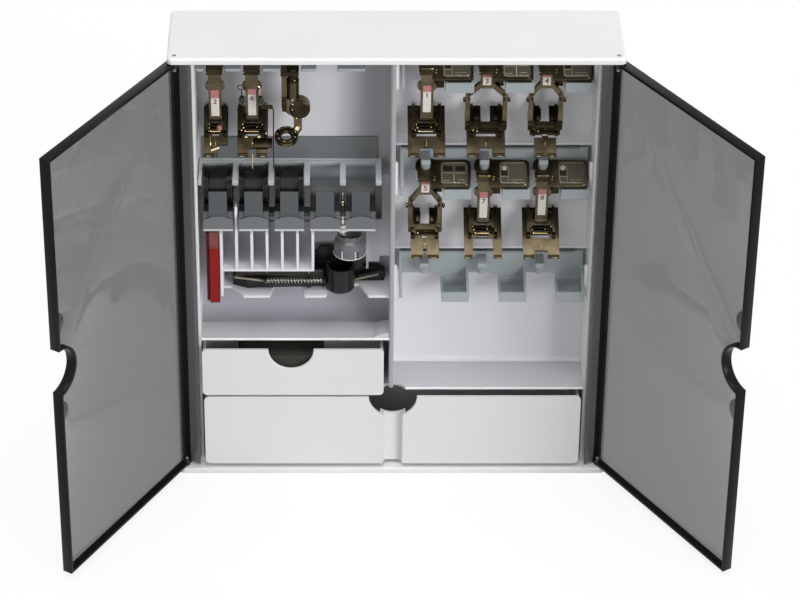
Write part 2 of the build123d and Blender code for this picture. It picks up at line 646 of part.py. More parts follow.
# ---------------------------------------------------------------- drawers
def make_large_drawer():
    """Full-width drawer. Its front is grooved down the middle to clear the two door rims and has a finger notch."""
    x0, x1 = LARGE_X
    z0, z1 = LARGE_Z
    rear = BACK_IN - 1.0
    width, length = x1 - x0, rear - DRAWER_Y
    mid = (x0 + x1) / 2
    with BuildPart() as drawer:
        with BuildSketch(Plane.XZ.offset(-DRAWER_Y)):
            with Locations((mid, (z0 + z1) / 2)):
                RectangleRounded(width, z1 - z0, 3.2)
        extrude(amount=-DRAWER_WALL)
        with BuildSketch(Plane.XY.offset(z0)):
            with Locations((mid, (DRAWER_Y + rear) / 2 + 0.5)):
                RectangleRounded(width - 1.2, length - 1.0, 3.0)
        extrude(amount=z1 - z0 - 4.0)
        with BuildSketch(Plane.XY.offset(z0 + DRAWER_WALL)):
            with Locations((mid, (DRAWER_Y + rear) / 2)):
                RectangleRounded(width - 1.2 - 2 * DRAWER_WALL, length - 2 * DRAWER_WALL, 2.0)
        extrude(amount=z1, mode=Mode.SUBTRACT)
        with BuildSketch(Plane.XY.offset(z0)):
            with Locations((0, DRAWER_Y + GROOVE_D / 2 + DRAWER_WALL / 2)):
                Rectangle(2 * (GROOVE_W + DRAWER_WALL), GROOVE_D + DRAWER_WALL)
        extrude(amount=z1 - z0)
        with BuildSketch(Plane.XY.offset(z0 - 1.0)):
            with BuildLine():
                Polyline((-GROOVE_W, DRAWER_Y - 1.0), (-GROOVE_W, DRAWER_Y), (-GROOVE_W + 1.4, DRAWER_Y + GROOVE_D),
                         (GROOVE_W - 1.4, DRAWER_Y + GROOVE_D), (GROOVE_W, DRAWER_Y), (GROOVE_W, DRAWER_Y - 1.0),
                         close=True)
            make_face()
        extrude(amount=z1, mode=Mode.SUBTRACT)
        with BuildSketch(Plane.XZ.offset(-DRAWER_Y + 1.0)):
            with Locations((0, z1)):
                Circle(14.0)
        extrude(amount=-(GROOVE_D + DRAWER_WALL + 2.0), mode=Mode.SUBTRACT)
        for x in (x0 + 4.0, x1 - 4.0):
            with BuildSketch(Plane.XY.offset(BASE_T + 0.3)):
                with Locations((x, (SHELF_FRONT + rear) / 2)):
                    SlotOverall(rear - SHELF_FRONT, 3.0, rotation=90)
            extrude(amount=z0 - BASE_T - 0.3)
    return drawer.part


def make_small_drawer():
    """Small drawer over the left half, with a half-round finger notch in its front."""
    x0, x1 = SMALL_X
    z0, z1 = SMALL_Z
    rear = DRAWER_BACK
    width = x1 - x0
    body_w = DIVIDER_X[0] - 0.5 - x0
    mid = (x0 + x1) / 2
    body_z = MID_SHELF_Z + SHELF_T + 0.3
    with BuildPart() as drawer:
        with BuildSketch(Plane.XZ.offset(-DRAWER_Y)):
            with Locations((mid, (z0 + z1) / 2)):
                RectangleRounded(width, z1 - z0, 2.6)
        extrude(amount=-DRAWER_WALL)
        with BuildSketch(Plane.XY.offset(body_z)):
            with Locations((mid, (DRAWER_Y + rear) / 2)):
                RectangleRounded(width - 0.6, rear - DRAWER_Y - 0.6, 2.4)
        extrude(amount=z1 - body_z - 4.0)
        with BuildSketch(Plane.XY.offset(body_z + DRAWER_WALL)):
            with Locations((mid, (DRAWER_Y + rear) / 2)):
                RectangleRounded(width - 0.6 - 2 * DRAWER_WALL, rear - DRAWER_Y - 2 * DRAWER_WALL, 1.6)
        extrude(amount=z1, mode=Mode.SUBTRACT)
        with BuildSketch(Plane.XZ.offset(-DRAWER_Y + 1.0)):
            with Locations((SMALL_NOTCH_X, z1)):
                Circle(13.0)
        extrude(amount=-(DRAWER_WALL + 2.0), mode=Mode.SUBTRACT)
        lips = drawer.edges().filter_by(GeomType.CIRCLE).filter_by_position(Axis.Z, z0 + 5.0, z1)
        fillet(lips.filter_by_position(Axis.X, SMALL_NOTCH_X - 10, SMALL_NOTCH_X + 10), 0.5)
    return drawer.part


def make_drawer_foam():
    """Black foam block that fills the middle of the small drawer."""
    x0, x1 = -89.6, -40.0
    y0, y1 = DRAWER_Y + 3.0, DRAWER_BACK - 2.2
    z0, z1 = MID_SHELF_Z + SHELF_T + 0.3 + DRAWER_WALL, 80.0
    with BuildPart() as foam:
        with BuildSketch(Plane.XY.offset(z0)):
            with Locations(((x0 + x1) / 2, (y0 + y1) / 2)):
                RectangleRounded(x1 - x0, y1 - y0, 1.5)
        extrude(amount=z1 - z0)
        chamfer(foam.edges().group_by(Axis.Z)[-1], 0.8)
    return foam.part


# ---------------------------------------------------------------- things that are kept in the box
def make_bobbin(x):
    """Wound bobbin: two thick flanges with grooved rims, a drum of thread between them and a bore."""
    half, inner, flange_r, groove_r, thread_r, bore_r = 8.0, 5.3, BOBBIN_R, 9.6, 7.4, 3.0
    with BuildPart() as bobbin:
        with BuildSketch(Plane(origin=(x, BOBBIN_Y, BOBBIN_Z), x_dir=(1, 0, 0), z_dir=(0, -1, 0))):
            with BuildLine():
                Polyline((-half, bore_r), (-half, flange_r), (-half + 0.8, flange_r), (-half + 1.1, groove_r),
                         (-inner - 0.9, groove_r), (-inner - 0.6, flange_r), (-inner, flange_r),
                         (-inner + 0.3, thread_r), (inner - 0.3, thread_r), (inner, flange_r),
                         (inner + 0.6, flange_r), (inner + 0.9, groove_r), (half - 1.1, groove_r),
                         (half - 0.8, flange_r), (half, flange_r), (half, bore_r), close=True)
            make_face()
        revolve(axis=Axis((x, BOBBIN_Y, BOBBIN_Z), (1, 0, 0)))
    return bobbin.part


def sole_plane(x, hook_z, drop):
    """Top face of a foot's sole: local y runs from toe to heel, local z away from the ground side."""
    return Plane(origin=(x, FRONT + 22.0, hook_z - drop + 8.75), x_dir=(1, 0, 0),
                 z_dir=(0, -sin(radians(SOLE_TILT)), cos(radians(SOLE_TILT))))


def make_foot(x, top, shape):
    """One presser foot as it hangs: a slotted socket head, a shank or wishbone, and a sole with its walls.

    shape gives the sole's width, the front slot, the needle hole, the wishbone's half width (0 for a plain
    shank), the drop from hook to toe, and whether the head carries the windowed side plate.
    """
    hook_z = top - HOOK_DROP
    head = Plane(origin=(x, HOOK_Y, hook_z), x_dir=(1, 0, 0),
                 z_dir=(0, -sin(radians(FOOT_TILT)), cos(radians(FOOT_TILT))))
    sole = sole_plane(x, hook_z, shape["drop"])
    sole_mid = hook_z - shape["drop"] + 10.6
    with BuildPart() as foot:
        with BuildSketch(head.offset(-2.2)):
            Circle(5.8)
            with Locations((0, -5.0)):
                Rectangle(9.2, 8.4)
            if shape["plate"]:
                with Locations((PLATE_X, PLATE_Y)):
                    RectangleRounded(PLATE_W, PLATE_H, 2.2)
                with Locations((WINDOW_X, PLATE_Y)):
                    RectangleRounded(WINDOW_W, WINDOW_H, 2.6, mode=Mode.SUBTRACT)
        extrude(amount=2.2)
        with BuildSketch(head.offset(-6.0)):
            Circle(5.0)
            with Locations((0, -2.0)):
                Rectangle(10.0, 8.0, mode=Mode.INTERSECT)
        extrude(amount=4.0)
        with BuildSketch(head.offset(-7.0)):
            Circle(SOCKET_R)
            with Locations((0, 5.0)):
                Rectangle(2 * SOCKET_R, 10.0)
        extrude(amount=8.0, mode=Mode.SUBTRACT)
        if shape["fork"]:
            hw, arm = shape["fork"], shape["drop"] - 15.0
            arch = Plane(origin=(x, FRONT + 20.6, hook_z), x_dir=(1, 0, 0), z_dir=(0, -1, 0))
            with BuildSketch(arch.offset(-2.6)):
                with BuildLine():
                    Polyline((-3.6, -3.4), (3.6, -3.4), (3.6, -13.0), (hw, -20.6), (hw, -arm), (-hw, -arm),
                             (-hw, -20.6), (-3.6, -13.0), close=True)
                make_face()
                with BuildLine():
                    Polyline((-hw + 2.6, -arm), (-hw + 2.6, -21.8), (-3.4, -16.6), (3.4, -16.6),
                             (hw - 2.6, -21.8), (hw - 2.6, -arm), close=True)
                make_face(mode=Mode.SUBTRACT)
            extrude(amount=2.8)
        else:
            with BuildSketch(YZ.offset(x - 3.55)):
                with BuildLine():
                    Polyline((FRONT + 17.6, hook_z - 3.6), (FRONT + 21.6, hook_z - 4.2),
                             (FRONT + 26.6, sole_mid + 6.0), (FRONT + 25.4, sole_mid - 0.2),
                             (FRONT + 22.6, sole_mid - 2.0), (FRONT + 23.0, sole_mid + 6.0), close=True)
                make_face()
            extrude(amount=7.1)
            with BuildSketch(Plane(origin=(x, FRONT + 22.6, hook_z - 16.5), x_dir=(1, 0, 0), z_dir=(0, -1, 0))):
                SlotOverall(10.8, 6.2)
            extrude(amount=-2.0)
        w = shape["width"]
        with BuildSketch(sole.offset(-1.6)):
            with Locations((0, -0.4)):
                Rectangle(w, 31.6)
            if shape["narrow"]:
                with Locations((-w / 2, -11.0), (w / 2, -11.0)):
                    Rectangle(w - shape["narrow"], 13.0, mode=Mode.SUBTRACT)
            with Locations((0, -16.2)):
                Rectangle(shape["slot"][0], 2 * shape["slot"][1], mode=Mode.SUBTRACT)
            with Locations((0, -2.8)):
                Rectangle(shape["hole"][0], shape["hole"][1], mode=Mode.SUBTRACT)
            if shape["fork"]:
                with Locations((0, 11.0)):
                    Rectangle(HEEL_SLOT_W, 14.0, mode=Mode.SUBTRACT)
            if shape["neck"]:
                with Locations((-w / 2, -3.6), (w / 2, -3.6)):
                    Rectangle(w - shape["neck"], 2.2, mode=Mode.SUBTRACT)
            if shape["cut"]:
                with Locations((w / 2, -14.0)):
                    Rectangle(2 * shape["cut"], 10.0, mode=Mode.SUBTRACT)
        extrude(amount=1.6)
        wall_x = shape["wall"]
        with BuildSketch(sole.offset(-0.1)):
            with Locations((-wall_x, 6.4), (wall_x, 6.4)):
                Rectangle(1.8, 17.0)
            if not shape["fork"]:
                with Locations((0, 5.6)):
                    Rectangle(2 * wall_x, 7.4)
            else:
                with Locations((0, 1.2)):
                    Rectangle(2 * wall_x, 3.6)
        extrude(amount=4.8)
        if shape["fork"]:
            with BuildSketch(sole.offset(-0.1)):
                with Locations((-shape["fork"] + 1.7, 4.4), (shape["fork"] - 1.7, 4.4)):
                    Rectangle(3.4, 9.0)
            extrude(amount=7.0)
    return foot.part


def make_foot_window(x, top):
    """Clear insert of a foot's side plate, domed a little on its upper face."""
    head = Plane(origin=(x, HOOK_Y, top - HOOK_DROP), x_dir=(1, 0, 0),
                 z_dir=(0, -sin(radians(FOOT_TILT)), cos(radians(FOOT_TILT))))
    with BuildPart() as window:
        with BuildSketch(head.offset(-2.0)):
            with Locations((WINDOW_X, PLATE_Y)):
                RectangleRounded(WINDOW_W, WINDOW_H, 2.6)
        extrude(amount=2.6)
        rim = window.faces().filter_by(Plane(origin=(0, 0, 0), x_dir=(1, 0, 0), z_dir=head.z_dir)).sort_by(Axis.Z)[-1]
        chamfer(rim.edges(), 0.5)
    return window.part


def make_spring_foot(x, top):
    """Free-motion foot: socket head, upright guide with a coil spring, a round knuckle and a ring sole."""
    hook_z = top - HOOK_DROP
    head = Plane(origin=(x, HOOK_Y, hook_z), x_dir=(1, 0, 0),
                 z_dir=(0, -sin(radians(FOOT_TILT)), cos(radians(FOOT_TILT))))
    tube_x, tube_y = x + 1.2, FRONT + 20.0
    with BuildPart() as foot:
        with BuildSketch(head.offset(-2.2)):
            Circle(5.8)
            with Locations((-0.5, -6.0)):
                Rectangle(10.0, 8.4)
        extrude(amount=2.2)
        with BuildSketch(head.offset(-6.0)):
            Circle(5.0)
            with Locations((0, -2.0)):
                Rectangle(10.0, 8.0, mode=Mode.INTERSECT)
        extrude(amount=4.0)
        with BuildSketch(head.offset(-7.0)):
            Circle(SOCKET_R)
            with Locations((0, 5.0)):
                Rectangle(2 * SOCKET_R, 10.0)
        extrude(amount=8.0, mode=Mode.SUBTRACT)
        with BuildSketch(Plane.XY.offset(hook_z - 24.0)):
            with Locations((x - 3.6, tube_y + 1.0)):
                Rectangle(3.0, 4.0)
            with Locations((tube_x, tube_y)):
                Circle(3.0)
        extrude(amount=18.5)
        with BuildSketch(Plane.XZ.offset(-tube_y - 2.5)):
            with Locations((x + 4.6, hook_z - 28.0)):
                Circle(6.2)
            with BuildLine():
                Polyline((x - 5.1, hook_z - 22.0), (x + 3.0, hook_z - 22.0), (x + 3.0, hook_z - 33.0),
                         (x - 1.5, hook_z - 31.5), (x - 5.1, hook_z - 27.0), close=True)
            make_face()
        extrude(amount=5.0)
        with BuildSketch(Plane.XZ.offset(-tube_y - 1.5)):
            with BuildLine():
                Polyline((x + 1.4, hook_z - 32.0), (x + 6.2, hook_z - 32.0), (x + 6.0, hook_z - 42.0),
                         (x + 2.4, hook_z - 47.6), (x - 0.6, hook_z - 46.6), (x + 1.8, hook_z - 41.0), close=True)
            make_face()
        extrude(amount=3.0)
        with BuildSketch(Plane(origin=(x - 2.6, tube_y - 2.0, hook_z - 47.0), x_dir=(1, 0, 0),
                               z_dir=(0, -sin(radians(20)), cos(radians(20))))):
            Circle(6.6)
            Circle(3.2, mode=Mode.SUBTRACT)
        extrude(amount=2.4)
    return foot.part


def make_ripper_handle():
    """Red handle of the seam ripper, a flat bar with softened edges."""
    with BuildPart() as handle:
        with BuildSketch(Plane.XY.offset(RIPPER_Z[0])):
            with Locations((RIPPER_X, RIPPER_Y)):
                RectangleRounded(5.8, 4.6, 0.7)
        extrude(amount=RIPPER_Z[1] - RIPPER_Z[0])
        fillet(handle.edges().group_by(Axis.Z)[0], 0.5)
    return handle.part


def make_ripper_cap():
    """Clear cap pushed over the blade end of the seam ripper."""
    with BuildPart() as cap:
        with BuildSketch(Plane.XY.offset(RIPPER_Z[1])):
            with Locations((RIPPER_X, RIPPER_Y)):
                RectangleRounded(5.6, 4.4, 0.7)
        extrude(amount=RIPPER_Z[2] - RIPPER_Z[1], taper=1.0)
        fillet(cap.edges().group_by(Axis.Z)[-1], 0.6)
        with BuildSketch(Plane.XY.offset(RIPPER_Z[1])):
            with Locations((RIPPER_X, RIPPER_Y)):
                RectangleRounded(2.4, 1.4, 0.3)
        extrude(amount=RIPPER_Z[2] - RIPPER_Z[1] - 3.0, mode=Mode.SUBTRACT)
    return cap.part


def make_walking_foot_body():
    """Long body of the walking foot as it lies on the scalloped shelf, with its screws, levers and rear plate."""
    z, y0 = WALKER_Z, WALKER_Y
    x0, x1 = WALKER_X
    nose, plate_h, lug_t, screw_r, screw_len = 8.4, 7.0, 1.2, 2.4, 3.0
    with BuildPart() as body:
        with BuildSketch(Plane.XY.offset(z)):
            with BuildLine():
                Polyline((x0 + nose, y0 - 6.0), (x1, y0 - 4.0), (x1, y0 + 8.6), (x0 + nose, y0 + 8.6),
                         (x0, y0 + 3.0), (x0, y0 - 2.0), close=True)
            make_face()
        extrude(amount=plate_h)
        fillet(body.edges().filter_by(Axis.Z), 1.0)
        with BuildSketch(Plane.XZ.offset(-y0 - 4.0)):
            with BuildLine():
                Polyline((x0 + 0.9, z + 6.0), (x0 + 0.9, z + 10.0), (x0 + 6.4, z + 12.0), (x1, z + 12.0),
                         (x1, z + 6.0), close=True)
            make_face()
        extrude(amount=-4.0)
        with BuildSketch(Plane.XZ.offset(-y0 - 6.0)):
            with BuildLine():
                Polyline((-46.0, z), (-46.0, z + 14.0), (-42.0, z + 20.0), (-17.6, z + 20.0), (-17.6, z + 6.8),
                         (-8.6, z + 6.8), (-4.8, z + 4.4), (-4.8, z), close=True)
            make_face()
        extrude(amount=-3.0)
        with BuildSketch(Plane.XZ.offset(-y0 - 2.0)):
            with BuildLine():
                Polyline((-20.5, z), (-20.5, z + 3.4), (-9.0, z + 6.2), (-5.4, z + 6.2), (-5.4, z), close=True)
            make_face()
        extrude(amount=-4.4)
        for lug_x, lug_y, lug_w in ((SPRING_X - lug_t, y0 - 6.6, 4.8), (SPRING_X + SPRING_LEN, y0 - 5.6, 6.8)):
            with BuildSketch(YZ.offset(lug_x)):
                with Locations((lug_y, z + 6.2)):
                    Rectangle(lug_w, 2.8)
            extrude(amount=lug_t)
        with BuildSketch(Plane.XZ.offset(-y0 + 6.6)):
            with Locations(*[(x, z + 3.0) for x in WALKER_SCREWS]):
                Circle(screw_r)
        extrude(amount=-screw_len)
    return body.part


def make_walking_foot_spring():
    """Spring along the front of the walking foot, as a plain rod of the coil's outside size."""
    with BuildPart() as spring:
        with BuildSketch(YZ.offset(SPRING_X)):
            with Locations((WALKER_Y - 8.2, WALKER_Z + 6.5)):
                Circle(SPRING_R)
        extrude(amount=SPRING_LEN)
    return spring.part


def make_walking_foot_head():
    """Black round socket of the walking foot, open at the top, with a lug back to the body."""
    foot_r, lug_w, lug_l, lug_h = 1.6, 6.0, 3.8, 3.6
    with BuildPart() as cup:
        with BuildSketch(Plane.XY.offset(CUP_Z)):
            with Locations((CUP_X, CUP_Y)):
                Circle(CUP_OUT_R)
        extrude(amount=CUP_H)
        with BuildSketch(Plane.XY.offset(CUP_Z + CUP_FLOOR)):
            with Locations((CUP_X, CUP_Y)):
                Circle(CUP_IN_R)
        extrude(amount=CUP_H, mode=Mode.SUBTRACT)
        fillet(cup.edges().group_by(Axis.Z)[0], foot_r)
        with BuildSketch(Plane.XY.offset(CUP_Z)):
            with Locations((CUP_X, CUP_Y + CUP_OUT_R + lug_l / 2 - 0.7)):
                Rectangle(lug_w, lug_l)
        extrude(amount=lug_h)
    return cup.part


def make_clear_collar():
    """Smoky slotted collar over the walking foot's socket, stepped at its top."""
    skirt_r, slots, slot_w, slot_h = 9.2, 6, 0.8, 5.0
    z = COLLAR_Z
    with BuildPart() as collar:
        with BuildSketch(Plane(origin=(COLLAR_X, CUP_Y, 0), x_dir=(1, 0, 0), z_dir=(0, -1, 0))):
            with BuildLine():
                Polyline((0, z + 7.6), (7.6, z + 7.6), (7.6, z), (skirt_r, z), (skirt_r, z + 7.0), (8.3, z + 8.2),
                         (8.3, z + 9.2), (6.9, z + 10.4), (6.9, z + 12.4), (0, z + 12.4), close=True)
            make_face()
        revolve(axis=Axis((COLLAR_X, CUP_Y, 0), (0, 0, 1)))
        with BuildSketch(Plane.XY.offset(COLLAR_Z)):
            with Locations((COLLAR_X, CUP_Y)):
                with PolarLocations(skirt_r - 0.6, slots):
                    Rectangle(3.0, slot_w)
        extrude(amount=slot_h, mode=Mode.SUBTRACT)
    return collar.part


def make_collar_spindle():
    """Metal spindle that hangs by its ring from the bar between two bobbin cups and carries the collar."""
    base_r, shaft_r, ring_r = 3.2, 1.0, 1.6
    z, ring_z, top_z = COLLAR_Z + 12.4, 172.0, 181.0
    with BuildPart() as spindle:
        with BuildSketch(Plane(origin=(SPINDLE_X, SPINDLE_Y, 0), x_dir=(1, 0, 0), z_dir=(0, -1, 0))):
            with BuildLine():
                Polyline((0, z), (base_r, z), (base_r, z + 1.0), (shaft_r, z + 1.6), (shaft_r, ring_z),
                         (ring_r, ring_z), (ring_r, ring_z + 1.2), (shaft_r, ring_z + 1.6),
                         (shaft_r, top_z - 1.0), (0.6, top_z), (0, top_z), close=True)
            make_face()
        revolve(axis=Axis((SPINDLE_X, SPINDLE_Y, 0), (0, 0, 1)))
    return spindle.part


# ---------------------------------------------------------------- swing-out rear feet
def make_rear_foot(side):
    """Flat arm that swings out behind the base on a headed pin to steady the box."""
    with BuildPart() as arm:
        with BuildSketch(Plane.XY.offset(0.25)):
            with Locations((side * (REAR_FOOT_X - REAR_ARM_L / 2), REAR_FOOT_Y)):
                SlotOverall(REAR_ARM_L + 2 * REAR_ARM_R, 2 * REAR_ARM_R)
        extrude(amount=1.85)
        with Locations((side * REAR_FOOT_X, REAR_FOOT_Y, 0.25)):
            with Locations(Rotation(180, 0, 0)):
                CounterBoreHole(radius=2.05, counter_bore_radius=3.7, counter_bore_depth=0.9, depth=4.0)
    return arm.part


def make_rear_foot_pins():
    """Two headed pins, alike, that hold the rear feet under the base plate."""
    with BuildPart() as pins:
        for x in (-REAR_FOOT_X, REAR_FOOT_X):
            with BuildSketch(Plane(origin=(x, REAR_FOOT_Y, 0), x_dir=(1, 0, 0), z_dir=(0, -1, 0))):
                with BuildLine():
                    Polyline((0, 0.3), (3.4, 0.3), (3.4, 0.95), (2.0, 0.95), (2.0, REAR_POCKET_H), (0, REAR_POCKET_H),
                             close=True)
                make_face()
            revolve(axis=Axis((x, REAR_FOOT_Y, 0), (0, 0, 1)))
    return pins.part


if __name__ == "__main__":
    save(make_base_plate(), "base_plate")
    save(make_lid(), "lid")
    save(make_back_panel(), "back_panel")
    save(make_side_wall(-1), "left_wall")
    save(make_side_wall(1), "right_wall")
    save(make_divider(), "divider")
    save(make_mid_shelf(), "mid_shelf")
    save(make_left_shelf(), "left_shelf")
    save(make_left_liner(), "left_liner")
    save(make_right_liner(), "right_liner")
    save(make_scalloped_shelf(), "scalloped_shelf")
    save(make_needle_rack(), "needle_rack")
    save(make_bobbin_holder(), "bobbin_holder")
    save(make_fork_rail(), "fork_rail")
    for row, rail_top in RAIL_TOPS.items():
        save(make_foot_rail(rail_top), f"foot_rail_{row}")
    save(make_door(-1, LEFT_OPEN), "door_left")
    save(make_door(1, RIGHT_OPEN), "door_right")
    save(make_hinge_pins(), "hinge_pins")
    save(make_large_drawer(), "large_drawer")
    save(make_small_drawer(), "small_drawer")
    save(make_drawer_foam(), "drawer_foam")
    for i, bobbin_x in enumerate(BOBBIN_XS, 1):
        save(make_bobbin(bobbin_x), f"bobbin_{i}")
    for foot_name, (foot_x, row, foot_shape) in FEET.items():
        save(make_foot(foot_x, RAIL_TOPS[row], foot_shape), foot_name)
        if foot_shape["plate"]:
            save(make_foot_window(foot_x, RAIL_TOPS[row]), foot_name + "_window")
    save(make_spring_foot(-58.0, RAIL_TOPS["top"]), "foot_spring")
    save(make_ripper_handle(), "ripper_handle")
    save(make_ripper_cap(), "ripper_cap")
    save(make_walking_foot_body(), "walking_foot_body")
    save(make_walking_foot_spring(), "walking_foot_spring")
    save(make_walking_foot_head(), "walking_foot_head")
    save(make_clear_collar(), "clear_collar")
    save(make_collar_spindle(), "collar_spindle")
    save(make_rear_foot(-1), "rear_foot_left")
    save(make_rear_foot(1), "rear_foot_right")
    save(make_rear_foot_pins(), "rear_foot_pins")
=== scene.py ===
# %% [markdown]
# # A standing box for sewing machine attachments
#
# The real object is a small white cabinet, 250 mm wide and 279 mm high, with two smoked doors that wrap
# round its corners. Racks inside hold presser feet, bobbins and small tools. The shapes come from the CAD
# frame. This lesson gives every part its finish, and adds what CAD leaves out: labels, screws, wires, coil
# springs, thread and trim.

# %% Tools
import json
import math

import bmesh
import bpy
from mathutils import Matrix, Vector


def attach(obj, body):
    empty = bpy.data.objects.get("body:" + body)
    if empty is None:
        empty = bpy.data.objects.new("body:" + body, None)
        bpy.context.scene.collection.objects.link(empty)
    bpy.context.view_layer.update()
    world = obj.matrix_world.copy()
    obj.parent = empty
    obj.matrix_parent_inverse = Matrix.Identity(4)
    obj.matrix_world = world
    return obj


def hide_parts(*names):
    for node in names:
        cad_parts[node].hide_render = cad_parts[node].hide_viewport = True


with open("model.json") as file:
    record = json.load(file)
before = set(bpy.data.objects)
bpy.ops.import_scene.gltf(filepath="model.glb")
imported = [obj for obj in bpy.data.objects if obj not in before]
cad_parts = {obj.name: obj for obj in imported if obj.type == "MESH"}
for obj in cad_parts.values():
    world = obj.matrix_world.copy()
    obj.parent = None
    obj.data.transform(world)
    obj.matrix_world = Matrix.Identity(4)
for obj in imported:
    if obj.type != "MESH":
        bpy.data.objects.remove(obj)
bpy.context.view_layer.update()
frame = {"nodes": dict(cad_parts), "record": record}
scene = bpy.context.scene
MM = 0.001
ORIGIN = (0, 0, 0)
WHITE = (1, 1, 1, 1)


def add_node(tree, kind, links=(), **values):
    """Adds a node, sets its properties and inputs by name, and joins sockets to its inputs."""
    made = tree.nodes.new(kind)
    for label, value in values.items():
        if hasattr(made, label):
            setattr(made, label, value)
        else:
            made.inputs[label.replace("_", " ").title()].default_value = value
    for label, socket in dict(links).items():
        tree.links.new(socket, made.inputs[label])
    return made


# %% [markdown]
# ## Camera
#
# A product picture of a cabinet is taken from far away with a long lens, so that its sides stay nearly
# parallel. This one looks down by 33 degrees. The small shift keeps the box in the middle of the frame
# without turning the camera.

# %% Camera
camera = bpy.data.objects.new("camera", bpy.data.cameras.new("camera"))
camera.location = (-0.03107, -1.5602, 1.1435)
camera.rotation_euler = (math.radians(56.93), 0, 0)
camera.data.lens = 145.7
camera.data.sensor_width = 36
camera.data.shift_x = 0.0757
camera.data.shift_y = -0.0429
scene.collection.objects.link(camera)
scene.camera = camera
print("camera stands", round(camera.location.length, 2), "m away")

# %% [markdown]
# ## Light and floor
#
# A catalogue picture of an open cabinet is lit from the front, so that light reaches the back wall. The main
# softbox stands to the right, low and turned in by 42 degrees, and draws the soft shadow that the divider
# and the right wall throw to their left. A weak fill from the left opens that shadow, and a bank above lifts
# the lid. Wide suns stand for all three, because a sun is equally strong all over the floor. The world is dim
# for the light that it gives, and plain white where the camera or a reflection looks straight at it. The
# paper is nearly white to the camera, and darker to the light that bounces off it, so that it doesn't fill
# the shadows inside the box.

# %% Light and floor
AMBIENT, PAPER_BOUNCE, PAPER_GLOW, FLOOR_HALF = 0.17, 0.42, 0.86, 6
scene.view_settings.view_transform = "Standard"


def soft_sun(name, strength, turn, spread):
    """A sun lamp with a wide disc, so that its shadows have soft edges."""
    lamp = bpy.data.lights.new(name, "SUN")
    lamp.energy = strength
    lamp.angle = math.radians(spread)
    lamp_object = bpy.data.objects.new(name, lamp)
    lamp_object.rotation_euler = [math.radians(angle) for angle in turn]
    scene.collection.objects.link(lamp_object)


soft_sun("right_softbox", 1.85, (77, 0, 42), 32)
soft_sun("left_fill", 0.42, (72, 0, -28), 60)
soft_sun("overhead_bank", 2.1, (6, 0, 0), 50)

room = bpy.data.worlds.new("pale_room")
room.use_nodes = True
scene.world = room
tree = room.node_tree
tree.nodes.clear()
rays = add_node(tree, "ShaderNodeLightPath")
bounced = add_node(tree, "ShaderNodeMath", {0: rays.outputs["Is Glossy Ray"],
                                            1: rays.outputs["Is Transmission Ray"]}, operation="MAXIMUM")
seen = add_node(tree, "ShaderNodeMath", {0: rays.outputs["Is Camera Ray"], 1: bounced.outputs[0]},
                operation="MAXIMUM")
ambient = add_node(tree, "ShaderNodeBackground", strength=AMBIENT)
white = add_node(tree, "ShaderNodeBackground", strength=1.0)
for background in (ambient, white):
    background.inputs["Color"].default_value = WHITE
either = add_node(tree, "ShaderNodeMixShader", {0: seen.outputs[0], 1: ambient.outputs[0], 2: white.outputs[0]})
add_node(tree, "ShaderNodeOutputWorld", {0: either.outputs[0]})

bm = bmesh.new()
bmesh.ops.create_grid(bm, x_segments=1, y_segments=1, size=FLOOR_HALF)
floor_mesh = bpy.data.meshes.new("floor")
bm.to_mesh(floor_mesh)
bm.free()
floor = bpy.data.objects.new("floor", floor_mesh)
scene.collection.objects.link(floor)
paper = bpy.data.materials.new("white_paper")
paper.use_nodes = True
tree = paper.node_tree
tree.nodes.clear()
path = add_node(tree, "ShaderNodeLightPath")
tone = add_node(tree, "ShaderNodeMix", {"Factor": path.outputs["Is Diffuse Ray"]}, data_type="RGBA")
tone.inputs["A"].default_value = WHITE
tone.inputs["B"].default_value = (PAPER_BOUNCE, PAPER_BOUNCE, PAPER_BOUNCE, 1)
matt = add_node(tree, "ShaderNodeBsdfDiffuse", {"Color": tone.outputs["Result"]})
glow = add_node(tree, "ShaderNodeEmission")
share = add_node(tree, "ShaderNodeMath", {0: path.outputs["Is Diffuse Ray"]}, operation="MULTIPLY_ADD")
share.inputs[1].default_value, share.inputs[2].default_value = -PAPER_GLOW, PAPER_GLOW
lit = add_node(tree, "ShaderNodeMixShader", {0: share.outputs[0], 1: matt.outputs[0], 2: glow.outputs[0]})
add_node(tree, "ShaderNodeOutputMaterial", {0: lit.outputs[0]})
floor_mesh.materials.append(paper)

# %% [markdown]
# ## Effects that several finishes share
#
# Moulded plastic is never quite flat or quite even: its skin has a fine grain, and its colour drifts a
# little where the melt cooled. Metal has drawn lines, and handled things have small smudges. Each effect is
# a node group, so that a finish only sets its strength.

# %% Node groups
def new_group(name, inputs, outputs):
    """An empty shader group with float inputs and outputs, its ends, and the object's own coordinates."""
    group = bpy.data.node_groups.new(name, "ShaderNodeTree")
    for label, value in inputs.items():
        socket = group.interface.new_socket(label, in_out="INPUT", socket_type="NodeSocketFloat")
        socket.default_value = value
    for label in outputs:
        group.interface.new_socket(label, in_out="OUTPUT", socket_type="NodeSocketFloat")
    start = group.nodes.new("NodeGroupInput")
    end = group.nodes.new("NodeGroupOutput")
    place = group.nodes.new("ShaderNodeTexCoord").outputs["Object"]
    return group, start, end, place


group, start, end, place = new_group("moulded_skin", {"Grain": 900.0, "Drift": 9.0}, ["Height", "Tone"])
grain = add_node(group, "ShaderNodeTexNoise", {"Vector": place, "Scale": start.outputs["Grain"]}, detail=2.0)
drift = add_node(group, "ShaderNodeTexNoise", {"Vector": place, "Scale": start.outputs["Drift"]}, detail=3.0)
group.links.new(grain.outputs["Fac"], end.inputs["Height"])
group.links.new(drift.outputs["Fac"], end.inputs["Tone"])
moulded_skin = group

